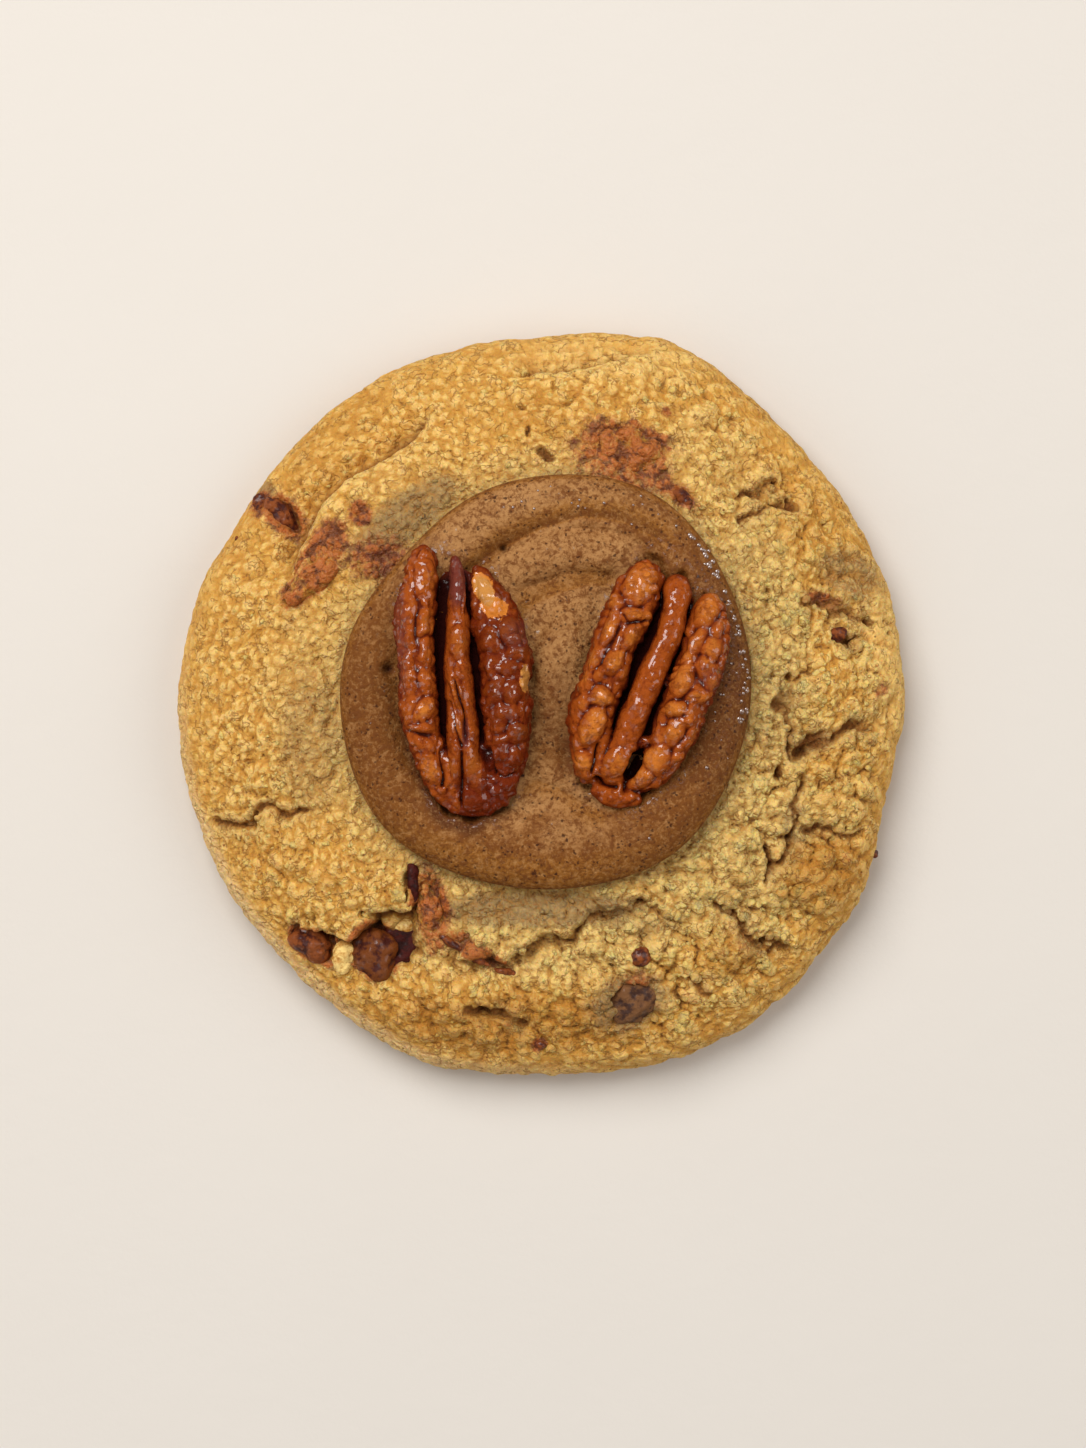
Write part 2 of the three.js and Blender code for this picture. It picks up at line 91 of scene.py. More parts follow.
# Cracks: path, depth, half width.
CRACKS = [
    ([(-42, -13.4), (-38.2, -16.2), (-35, -13.6), (-31.2, -13.5), (-27, -11.6)], 2.3, 1),
    ([(30.8, 3.6), (30.2, -1), (31.6, -6), (36, -4.4), (39, -2.6), (42.6, -2.5)], 2, 1.2),
    ([(31.6, -7), (32.3, -13.5), (31, -18.3), (28.6, -21.6), (28, -24)], 2, 0.9),
    ([(32.6, -15.5), (37.2, -15.2), (39.4, -16.8)], 1.6, 0.9),
    ([(21.6, -24), (25.3, -26.8), (27.2, -30.2), (31.5, -30.2)], 2.2, 1.1),
    ([(24.6, 22.6), (28.4, 24.9), (31.8, 24.3)], 1.8, 1),
    ([(25.6, 26.2), (29.2, 27.4)], 1.6, 0.9),
    ([(32.4, 14), (36.4, 12.3), (41.8, 10)], 1.4, 1),
    ([(36.5, 8.4), (40.4, 7.4)], 1.4, 1.1),
    ([(-7.4, -37.6), (-5, -39.4), (-1, -41)], 2.4, 1.4),
    ([(18.4, -33.6), (21.8, -36.6)], 1.2, 0.9),
]
# Swellings and hollows: place, half width, height.
SWELLS = [
    ((34.8, -21.6), 5.6, 1.5), ((36.4, -10.4), 4.6, 1.1), ((35.4, 1.4), 4.4, 0.9), ((30.4, 19.2), 4.6, 1.2),
    ((23.4, -30.6), 3.8, 1.2), ((6.5, -36), 5, 0.8), ((-10, -37), 4.6, 1.1), ((-27, -20), 7, 1.1),
    ((-32.5, -3.4), 7, 0.9), ((-38, 14), 4, 0.6), ((-22.6, 27), 5, 0.8), ((7, 38.6), 6, 0.6),
    ((-18.6, -29.4), 3.6, -1.6),
]
CRAGS = {"pitch": 6.4, "high": 1.7, "least": 0.35, "most": 1, "bearing": -35, "spread": 80}
# Lumps in the dough: half sizes, how far each is turned, and its shift from its solid.
LUMPS = {
    "toffee_lump_back": ((4.8, 3.1, 1.6), -24, (0, 0, -0.2)),
    "toffee_lump_left": ((5, 2.1, 1.5), 52, (0, 0, -0.2)),
    "toffee_lump_front": ((3.9, 1.8, 1.8), 100, (0, 0, -0.2)),
    "nut_piece_rim": ((2.9, 1.4, 1.3), -50, (0.3, -0.4, -0.6)),
    "nut_piece_front_left": ((3.0, 2.0, 1.8), -28, (0, 0, -0.2)),
    "nut_piece_front": ((2.9, 3.5, 1.8), 12, (-1.4, 0.2, -0.4)),
    "nut_piece_base_side": ((3.4, 2.8, 1.9), 22, (0, 0, 0.2)),
}
# Pecan halves: each lobe is a list of x, y, half width and height of its crest.
PECAN_BED = 16.7
PECANS = {
    "pecan_half_left": {
        "blunt": 8,
        # path, half width and depth of each crease
        "creases": [
            ([(-12.0, -5), (-11.9, -8.6), (-12.2, -10.8)], 0.3, 0.9),
            ([(-9.7, -5.6), (-9.8, -8.6), (-9.9, -13.6)], 0.26, 0.9),
            ([(-7, -5), (-6.2, -8.2), (-5.4, -9)], 0.35, 1.1),
            ([(-6.2, -8.8), (-4.2, -9.3), (-2.6, -8.6)], 0.28, 0.5),
            ([(-16.8, -3.2), (-15, -3.9), (-13, -3.7)], 0.25, 0.5),
            ([(-10.9, 3.4), (-10.2, 1), (-9.3, -1.2), (-9.2, -6)], 0.25, 1),
            ([(-11.4, 0.6), (-10.9, -2), (-10.2, -4.6), (-9.6, -5.8)], 0.22, 0.7),
            ([(-15.2, 16), (-15.3, 9), (-15.3, 2)], 0.4, 0.12),
            ([(-9.3, 16.4), (-9.0, 13), (-9.2, 10.6)], 0.2, 0.5),
            ([(-3.9, -2.9), (-3.0, -2.2), (-1.9, -2.6)], 0.16, 0.35),
        ],
        # place, half sizes, turn and height of each bulge
        "bulges": [
            (-14.2, 15.5, 3.5, 1.3, 90, 0.6), (-14.1, 10, 1.9, 1.1, 90, 0.7), (-13.9, 6.4, 1.7, 1, 90, 0.6),
            (-14, 2.6, 1.7, 1.1, 90, 0.6), (-14.3, -0.9, 1.8, 1.1, 60, 0.8), (-14.6, -3.1, 2, 0.9, 5, 0.6),
            (-14.5, -5.2, 1.6, 1, -20, 0.5), (-13.6, -8, 2.2, 1.2, -60, 0.8),
            (-16.4, 11.5, 5.4, 0.9, 92, 0.45), (-16.3, 3.6, 2.6, 0.9, 95, 0.5),
            (-16.2, -1, 1.9, 0.8, 80, 0.5),
            (-10.3, 14, 3.4, 0.7, 90, 0.5), (-10.1, 7.6, 2.2, 1.3, 90, 0.6), (-9.5, 4.4, 1.5, 1.2, 90, 0.5),
            (-10.4, 1.4, 2.3, 0.7, -72, 0.7), (-10.3, -3.2, 2.4, 0.7, -72, 0.7),
            (-11.3, -2.4, 2.8, 0.5, 85, 0.4), (-10.9, -7.8, 2.9, 1.1, 92, 0.7),
            (-8.3, -8, 3.6, 1.2, -73, 0.7), (-8.3, -12, 1.9, 1.5, 0, 0.5),
            (-8.7, 13.2, 2.8, 0.6, 95, 0.6), (-6.4, 13.2, 2.6, 1.2, -62, 0.5), (-6.3, 7.8, 1.8, 1.3, 80, 0.6),
            (-3.4, 8.6, 2.3, 1.5, -50, 0.9), (-2.7, 6.3, 1.5, 1.2, 0, 0.7), (-6.1, 4.5, 1.3, 1, 0, 0.4),
            (-4.3, 4.4, 1.4, 0.9, 0, 0.5), (-5.6, 1.6, 1.8, 1.2, 80, 0.6), (-3.7, 1.2, 1.6, 1.3, 80, 0.6),
            (-5.4, -2, 1.8, 1.2, 80, 0.5), (-3.7, -1.2, 1.3, 1, 0, 0.5), (-2.9, -3.6, 1.6, 1.3, 80, 0.8),
            (-5, -5.4, 1.8, 1.2, 80, 0.5), (-3.5, -6.7, 1.5, 1, 0, 0.5), (-4, -10.6, 2, 1.2, 20, 0.5),
        ],
        "left": [
            (-14.2, 19.3, 1.8, 20.8), (-15.4, 11, 2.1, 22.2), (-15.2, 3, 2.05, 22.6), (-14.6, -4, 1.9, 22.2),
            (-11.2, -12.8, 1.9, 20.6),
        ],
        "ridge": [
            (-10.4, 18.1, 0.75, 20.8), (-10.3, 10, 1.15, 22.0), (-10.2, 3, 1.5, 22.6), (-9.9, -4, 1.75, 22.2),
            (-8.8, -13.4, 2.1, 20.4),
        ],
        "right": [
            (-8.0, 17, 1.1, 20.2), (-5.2, 9.6, 2.7, 22.0), (-4.4, 3, 2.6, 22.6), (-4.3, -4, 2.4, 22.2),
            (-5.6, -12.2, 2.1, 20.4),
        ],
        "heel": ((-8.3, -8.8), (5.5, 5.0), 0, 20.9),
        "belly": ((-9.8, 2.4), (6.9, 14.5), 6, 19.2),
    },
    "pecan_half_right": {
        "blunt": 12,
        "creases": [
            ([(7.2, -4.6), (6.6, -7), (6.0, -9)], 0.3, 0.9),
            ([(12.4, -5.8), (11.4, -7.6), (10.5, -9.6), (10.4, -12)], 0.5, 1.6),
            ([(9.8, 11.4), (10.6, 10), (12.2, 9.9), (13.4, 10.4)], 0.25, 0.6),
            ([(6.2, -9.3), (8.2, -10.2), (9.6, -10.4)], 0.4, 1.2),
            ([(10.6, -10.6), (12.6, -11.4), (14.4, -10.6)], 0.3, 0.7),
        ],
        "bulges": [
            (12.3, 14.8, 2.8, 2, 55, 1), (9.1, 12.4, 1, 0.9, 0, 0.8), (11.2, 11, 1.6, 0.9, 10, 0.9),
            (13, 10.6, 1.2, 1, 90, 0.8), (8.3, 9.2, 2.6, 0.8, 68, 0.8), (11.2, 8.3, 2, 1.1, 60, 0.9),
            (9.6, 7.6, 1.9, 0.6, 70, 0.5), (6.6, 5.7, 1.9, 0.8, 62, 0.7), (9, 5, 1.6, 1.3, 60, 0.9),
            (10.1, 3.7, 1.1, 0.8, 60, 0.6), (7.2, 3.6, 1.2, 0.7, 60, 0.5), (5.5, 2.9, 1.9, 0.8, 85, 0.7),
            (7.4, 0.7, 1.6, 1.4, 0, 1.1), (5.3, 0.2, 1.2, 0.8, 90, 0.6), (6.3, -2.8, 2.6, 1.5, 60, 1),
            (4.5, -4.8, 1.4, 0.9, 60, 0.6), (5.3, -7.4, 2, 1.2, -60, 0.8), (7.6, -5, 1.2, 0.8, 60, 0.4),
            (20.5, 11.2, 2.4, 1.3, 70, 1), (21.7, 9, 1.4, 0.9, 60, 0.7), (19.3, 7.6, 2.1, 1, 60, 0.8),
            (18.1, 5.5, 1.3, 1, 60, 0.7), (20.9, 6.7, 1.6, 1.2, 90, 0.8), (20.2, 4.5, 1.5, 1.2, 0, 0.7),
            (21, 2.7, 1.4, 1, 60, 0.8), (20.5, 1.1, 1.1, 0.8, 0, 0.7), (17.3, 3, 2, 1.3, 70, 1),
            (19, 1, 1.3, 1.2, 0, 0.8), (16.5, -0.7, 1.7, 1.1, 10, 1), (18.3, -1.6, 1.7, 1.2, 70, 0.7),
            (16.4, -3.4, 2.2, 1.3, 60, 0.9), (14.6, -4.2, 1.4, 1.2, 60, 0.7), (14.1, -6.9, 2.2, 1.5, 60, 1),
            (12.4, -9.1, 1.7, 1.3, 45, 1), (18.4, -4.2, 2, 0.6, 60, 0.6), (16.6, -6.6, 1.4, 0.7, 50, 0.6),
            (8.8, -7.6, 2.4, 1.8, 50, 0.7), (11.4, 2.2, 2.2, 0.5, 65, 0.4),
        ],
        "left": [
            (13.6, 17.1, 2.1, 20.6), (10.6, 11.4, 2.7, 22.0), (8.2, 4.6, 2.5, 22.6), (6.0, -2.4, 2.2, 22.1),
            (5.8, -9.8, 1.8, 20.4),
        ],
        "ridge": [
            (17.3, 15.6, 1.5, 20.6), (15.7, 9.2, 1.35, 22.1), (13.2, 2.6, 1.45, 22.6),
            (10.7, -3.4, 1.5, 22.2), (8.0, -9.9, 2.0, 20.5),
        ],
        "right": [
            (20.9, 13.3, 1.7, 20.2), (20.2, 7, 2.4, 21.8), (18.1, 1, 2.5, 22.3), (15.6, -4.8, 2.2, 21.8),
            (11.8, -11, 1.8, 20.2),
        ],
        "heel": ((9.6, -10.3), (3.3, 2.5), 0, 20.3),
        "belly": ((12.8, 1.8), (6.4, 13), -20, 19),
    },
}
LOBES = ("left", "ridge", "right")
# Lumps that have soaked into the crumb, and lie flush in it.
SOAKED = ("toffee_lump_back", "toffee_lump_left", "toffee_lump_front")
# Holes in the crust, with painted shade in them: place, half sizes, depth.
PITS = [
    ((0.7, 30.1), (0.9, 0.8), 1.4), ((-1.1, 33.8), (0.6, 0.6), 1), ((-2.1, 36.9), (0.5, 0.5), 0.9),
    ((26, 26.3), (0.9, 0.7), 1.2), ((28.8, 27.3), (0.8, 0.6), 1.2), ((31.6, 24.3), (1, 0.7), 1.3),
    ((30.4, 2.9), (0.8, 0.9), 1.4), ((38.6, 7.9), (1.5, 0.7), 1.5), ((41.9, 9.7), (1, 0.8), 1.2),
    ((-17.1, -30.4), (3.0, 3.5), 2.6), ((-15.8, -22.2), (0.8, 2.8), 1.6), ((-8, -37.8), (1.2, 0.9), 1.4),
    ((29.9, -9.8), (0.9, 1.6), 1.3), ((27.5, -19.2), (0.8, 1.4), 1.3), ((34.2, -5), (1.6, 0.8), 1.2),
]

# ---------------------------------------------------------------- small maths


def hill(distance, half):
    return np.exp(-((distance / half) ** 2))


def blend(first, second, share):
    return first + (second - first) * share


def rise(value, low, high):
    """From 0 at low to 1 at high, softly."""
    share = np.clip((value - low) / (high - low), 0, 1)
    return share * share * (3 - 2 * share)


def apart(a, b):
    """The smallest angle between two bearings, in degrees."""
    return np.abs((a - b + 540) % 360 - 180)


def bearing_of(x, y):
    return np.degrees(np.arctan2(y, x)) % 360


def outline_radius(shape, bearing):
    """How far an outline is from its centre at a bearing."""
    bulges = (out * hill(apart(bearing, at), spread) for at, spread, out in shape["outline"])
    return shape["radius"] + sum(bulges)


def by_path(path, x, y):
    """Where points lie by a path: distance, side (1 is its right, -1 its left) and share of the way along."""
    distance = np.full(x.shape, 1e9)
    side = np.ones(x.shape)
    along = np.zeros(x.shape)
    for i, ((ax, ay), (bx, by)) in enumerate(zip(path, path[1:])):
        dx, dy = bx - ax, by - ay
        t = np.clip(((x - ax) * dx + (y - ay) * dy) / (dx * dx + dy * dy), 0, 1)
        here = np.hypot(x - ax - t * dx, y - ay - t * dy)
        closer = here < distance
        distance = np.where(closer, here, distance)
        side = np.where(closer, np.where(dx * (y - ay) - dy * (x - ax) > 0, -1, 1), side)
        along = np.where(closer, (i + t) / (len(path) - 1), along)
    return distance, side, along


def fade_ends(along, share):
    return rise(along, 0, share) * rise(1 - along, 0, share)


def through(stations, share):
    """A smooth curve through rows of numbers, at shares of its length."""
    rows = np.array(stations, float)
    rows = np.vstack([2 * rows[0] - rows[1], rows, 2 * rows[-1] - rows[-2]])
    place = np.clip(share, 0, 1) * (len(stations) - 1)
    i = np.minimum(place.astype(int), len(stations) - 2)
    t = (place - i)[:, None]
    a, b, c, d = rows[i], rows[i + 1], rows[i + 2], rows[i + 3]
    return 0.5 * (2 * b + (c - a) * t + (2 * a - 5 * b + 4 * c - d) * t**2 + (3 * b - a - 3 * c + d) * t**3)


def in_ellipse(x, y, centre, half, turn):
    """0 in the middle of an ellipse, 1 on its edge, more outside."""
    a = math.radians(turn)
    u = (x - centre[0]) * math.cos(a) + (y - centre[1]) * math.sin(a)
    v = (y - centre[1]) * math.cos(a) - (x - centre[0]) * math.sin(a)
    return np.hypot(u / half[0], v / half[1])


# ---------------------------------------------------------------- chance, soft noise and packed grains


# Any uneven numbers do, for x, y, z and the salt. The scatter is large, so that only the last digits count.
UNEVEN = (127.1, 311.7, 191.9, 74.7)
SCATTER = 43758.5453


def chance(cell, salt):
    """A repeatable number from 0 to 1 for each cell of space."""
    x, y, z = cell.T
    wave = np.sin(x * UNEVEN[0] + y * UNEVEN[1] + z * UNEVEN[2] + salt * UNEVEN[3]) * SCATTER
    return wave - np.floor(wave)


def soft_noise(points, size, salt):
    """Smooth noise from -1 to 1, with features of about this size."""
    place = points / size
    corner = np.floor(place)
    share = place - corner
    share = share * share * (3 - 2 * share)
    total = np.zeros(len(points))
    for step in itertools.product((0, 1), repeat=3):
        weight = np.prod(np.where(step, share, 1 - share), axis=1)
        total += weight * chance(corner + step, salt)
    return 2 * total - 1


def rough_noise(points, size, salt, octaves=3):
    """Soft noise with finer noise on it, each octave half the size and half the height."""
    return sum(soft_noise(points, size / 2**k, salt + 7 * k) / 2**k for k in range(octaves))


def grains(points, size, salt):
    """How far the nearest and the next grain's middles are, in grain sizes, and the nearest one's number."""
    place = points / size
    corner = np.floor(place)
    nearest = np.full(len(points), 9.0)
    second = nearest.copy()
    tone = np.zeros(len(points))
    for step in itertools.product((-1, 0, 1), repeat=3):
        cell = corner + step
        middle = cell + np.stack([chance(cell, salt + k) for k in range(3)], axis=1)
        here = np.linalg.norm(place - middle, axis=1)
        closer = here < nearest
        second = np.where(closer, nearest, np.minimum(second, here))
        tone = np.where(closer, chance(cell, salt + 3), tone)
        nearest = np.minimum(nearest, here)
    return nearest, second, tone


def packed(x, y, pitch, salt):
    """Rounded lumps side by side on the plane: about 1 in the middle of one, 0 in the seam between two."""

    def draw(i, j, extra):
        return chance(np.stack([i, j, np.zeros(i.shape)], axis=1), salt + extra)

    u, v = x / pitch, y / pitch
    nearest = np.full(x.shape, 9.0)
    second = nearest.copy()
    for i, j in itertools.product((-1, 0, 1), repeat=2):
        a, b = np.floor(u) + i, np.floor(v) + j
        here = np.hypot(a + draw(a, b, 0) - u, b + draw(a, b, 1) - v)
        second = np.minimum(second, np.maximum(nearest, here))
        nearest = np.minimum(nearest, here)
    return 1 - np.exp(-3 * (second - nearest))


# ---------------------------------------------------------------- meshes


def pick(piece):
    bpy.ops.object.select_all(action="DESELECT")
    piece.select_set(True)
    bpy.context.view_layer.objects.active = piece


MOST_SEGMENTS = 120  # of a ball that is made in one go


def ball(name, segments, rings):
    """A ball of radius 1 to be shaped. A fine one is a coarse one with each side cut in four."""
    fine = segments > MOST_SEGMENTS
    cuts = 4 if fine else 1
    bpy.ops.object.select_all(action="DESELECT")
    bpy.ops.mesh.primitive_uv_sphere_add(segments=segments // cuts, ring_count=rings // cuts, radius=1)
    piece = bpy.context.object
    piece.name = piece.data.name = name
    if fine:
        finer = piece.modifiers.new("finer", "SUBSURF")
        finer.subdivision_type = "SIMPLE"
        finer.levels = finer.render_levels = 2
        bpy.ops.object.modifier_apply(modifier=finer.name)
        unit = points_of(piece)
        move_points(piece, unit / np.linalg.norm(unit, axis=1)[:, None])
    return piece


def points_of(piece):
    flat = np.empty(len(piece.data.vertices) * 3)
    piece.data.vertices.foreach_get("co", flat)
    return flat.reshape(-1, 3)


def normals_of(piece):
    flat = np.empty(len(piece.data.vertices) * 3, np.float32)
    piece.data.vertex_normals.foreach_get("vector", flat)
    return flat.reshape(-1, 3).astype(float)


def move_points(piece, points):
    piece.data.vertices.foreach_set("co", points.astype(np.float32).ravel())
    piece.data.update()


def paint(piece, name, values):
    """Keeps one number for each point, for the finish to read."""
    layer = piece.data.attributes.get(name) or piece.data.attributes.new(name, "FLOAT", "POINT")
    layer.data.foreach_set("value", np.broadcast_to(values, len(piece.data.vertices)).astype(np.float32))


def painted(piece, name):
    values = np.empty(len(piece.data.vertices), np.float32)
    piece.data.attributes[name].data.foreach_get("value", values)
    return values


def hollows(piece, rounds):
    """How far each point lies below the mesh smoothed this often: above 0 in a hollow, below 0 on a bump."""
    ends = np.empty(len(piece.data.edges) * 2, np.int32)
    piece.data.edges.foreach_get("vertices", ends)
    a, b = ends.reshape(-1, 2).T
    start = points_of(piece)
    count = len(start)
    share = 1 / (1 + np.bincount(a, minlength=count) + np.bincount(b, minlength=count))
    smooth = start.copy()
    for _ in range(rounds):
        total = smooth.copy()
        for axis in range(3):
            total[:, axis] += np.bincount(a, smooth[b, axis], count) + np.bincount(b, smooth[a, axis], count)
        smooth = total * share[:, None]
    return np.einsum("ij,ij->i", smooth - start, normals_of(piece))


def settle(piece, finish, slot, *nodes):
    """Brings a finished piece from millimetres to metres, dresses it, and puts it in its CAD nodes' place."""
    move_points(piece, points_of(piece) * MM)
    piece.data.polygons.foreach_set("use_smooth", np.ones(len(piece.data.polygons), bool))
    piece.data.materials.clear()
    piece.data.materials.append(finish)
    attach(piece, BODY)
    if nodes:
        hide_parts(*nodes)


# ---------------------------------------------------------------- finishes


class Wire:
    """A socket of a finish. A sum on it adds its Math node, so that 1 - mask reads as it works."""

    def __init__(self, finish, socket):
        self.finish = finish
        self.socket = socket

    def reckon(self, operation, first, second):
        return self.finish.node("ShaderNodeMath", {"operation": operation}, {0: first, 1: second})

    def __add__(self, other):
        return self.reckon("ADD", self, other)

    def __sub__(self, other):
        return self.reckon("SUBTRACT", self, other)

    def __rsub__(self, other):
        return self.reckon("SUBTRACT", other, self)

    def __mul__(self, other):
        return self.reckon("MULTIPLY", self, other)

    __radd__ = __add__
    __rmul__ = __mul__


class Finish:
    """A material, made node by node. Sizes are in millimetres."""

    def __init__(self, name):
        self.material = bpy.data.materials.new(name)
        self.material.use_nodes = True
        self.tree = self.material.node_tree
        self.tree.nodes.clear()
        self.place = self.node("ShaderNodeTexCoord", {}, {}, "Object")

    def node(self, kind, settings, values, output=0):
        """Adds a node, with its settings and what goes into its sockets, and returns one of its outputs."""
        node = self.tree.nodes.new(kind)
        for name, value in settings.items():
            setattr(node, name, value)
        for key, value in values.items():
            if isinstance(value, Wire):
                self.tree.links.new(value.socket, node.inputs[key])
            elif node.inputs[key].type == "RGBA":
                node.inputs[key].default_value = (*value, 1)
            else:
                node.inputs[key].default_value = value
        return Wire(self, node.outputs[output])

    def own(self, name):
        """What paint() kept on the mesh under this name."""
        return self.node("ShaderNodeAttribute", {"attribute_name": name}, {}, "Fac")

    def warped(self, size, amount):
        """The coordinates, pushed about softly by up to an amount."""
        push = self.node("ShaderNodeTexNoise", {}, {"Vector": self.place, "Scale": 1 / (size * MM)}, "Color")
        values = {0: push, 1: (2 * amount * MM,) * 3, 2: self.place}
        return self.node("ShaderNodeVectorMath", {"operation": "MULTIPLY_ADD"}, values)

    def noise(self, size, detail=2.0, roughness=0.5, at=None):
        values = {"Vector": at or self.place, "Scale": 1 / (size * MM)}
        values.update({"Detail": detail, "Roughness": roughness})
        return self.node("ShaderNodeTexNoise", {}, values)

    def cells(self, size, at=None):
        """How far the nearest cell's middle is, in cell sizes."""
        values = {"Vector": at or self.place, "Scale": 1 / (size * MM)}
        return self.node("ShaderNodeTexVoronoi", {"feature": "F1"}, values, "Distance")

    def seams(self, size, at=None):
        """How far the nearest seam between two cells is, in cell sizes."""
        values = {"Vector": at or self.place, "Scale": 1 / (size * MM)}
        return self.node("ShaderNodeTexVoronoi", {"feature": "DISTANCE_TO_EDGE"}, values, "Distance")

    def rise(self, value, low, high, start=0.0, end=1.0):
        """From start, where the value is low, to end, where it is high, softly."""
        settings = {"interpolation_type": "SMOOTHSTEP"}
        return self.node("ShaderNodeMapRange", settings, {0: value, 1: low, 2: high, 3: start, 4: end})

    def mix(self, share, first, second):
        """Colours mixed: the first where share is 0, the second where it is 1."""
        settings = {"data_type": "RGBA", "clamp_factor": True}
        return self.node("ShaderNodeMix", settings, {0: share, 6: first, 7: second}, 2)

    def over(self, under, colour, value, low, high, amount=1.0):
        """A colour laid over another where a value has risen from low to high, by up to an amount."""
        return self.mix(self.rise(value, low, high, 0, amount), under, colour)

    def bump(self, height, depth):
        """A Bump node: depth is how far the height's whole range stands out, in millimetres."""
        return self.node("ShaderNodeBump", {}, {"Height": height, "Distance": depth * MM}, "Normal")

    def skin(self, **values):
        """Ends the finish with what goes into the sockets of the Principled shader, with _ for each space."""
        sockets = {name.replace("_", " "): value for name, value in values.items()}
        shader = self.node("ShaderNodeBsdfPrincipled", {}, sockets)
        output = self.tree.nodes.new("ShaderNodeOutputMaterial")
        self.tree.links.new(shader.socket, output.inputs["Surface"])
        return self.material


# Colours are linear, as a light meter would read them.
GOLD = (0.67, 0.340, 0.062)
CREAM = (0.93, 0.640, 0.215)
AMBER = (0.52, 0.215, 0.030)
BAKED = (0.50, 0.215, 0.026)
PALE = (0.62, 0.405, 0.125)
RIM = (0.82, 0.53, 0.23)
CREVICE_SHADE_AND_DOTS = (0.20, 0.066, 0.010)
CREASE_SHADE = (0.31, 0.120, 0.019)
STAIN = (0.16, 0.034, 0.014)
STAIN_LIGHT = (0.42, 0.105, 0.018)
GREY_AND_SHADE = (0.27, 0.165, 0.068)
ICING_WARM = (0.205, 0.066, 0.009)
ICING_CREAM = (0.41, 0.192, 0.062)
ICING_PALE = (0.60, 0.320, 0.120)
ICING_AMBER = (0.30, 0.110, 0.014)
ICING_RUST = (0.165, 0.050, 0.009)
ICING_DEEP = (0.090, 0.022, 0.003)
SPECK = (0.040, 0.009, 0.003)
PECAN_ORANGE = (0.62, 0.190, 0.024)
PECAN_AMBER = (0.34, 0.066, 0.006)
PECAN_RUST = (0.12, 0.010, 0.001)
PECAN_PURPLE = (0.13, 0.026, 0.022)
PECAN_DARK = (0.022, 0.0020, 0.0008)
PECAN_PALE = (0.56, 0.235, 0.050)
NUT_LIGHT = (0.25, 0.060, 0.010)
NUT_LIGHT_DEEP = (0.17, 0.042, 0.005)
NUT_DARK = (0.055, 0.007, 0.003)
GREY_NUT_LIGHT = (0.19, 0.078, 0.026)
GREY_NUT_DARK = (0.055, 0.020, 0.011)
NUT_SYRUP = (0.06, 0.004, 0.001)
PLASTER = (0.70, 0.645, 0.58)
PLASTER_LIGHT = (0.72, 0.665, 0.60)


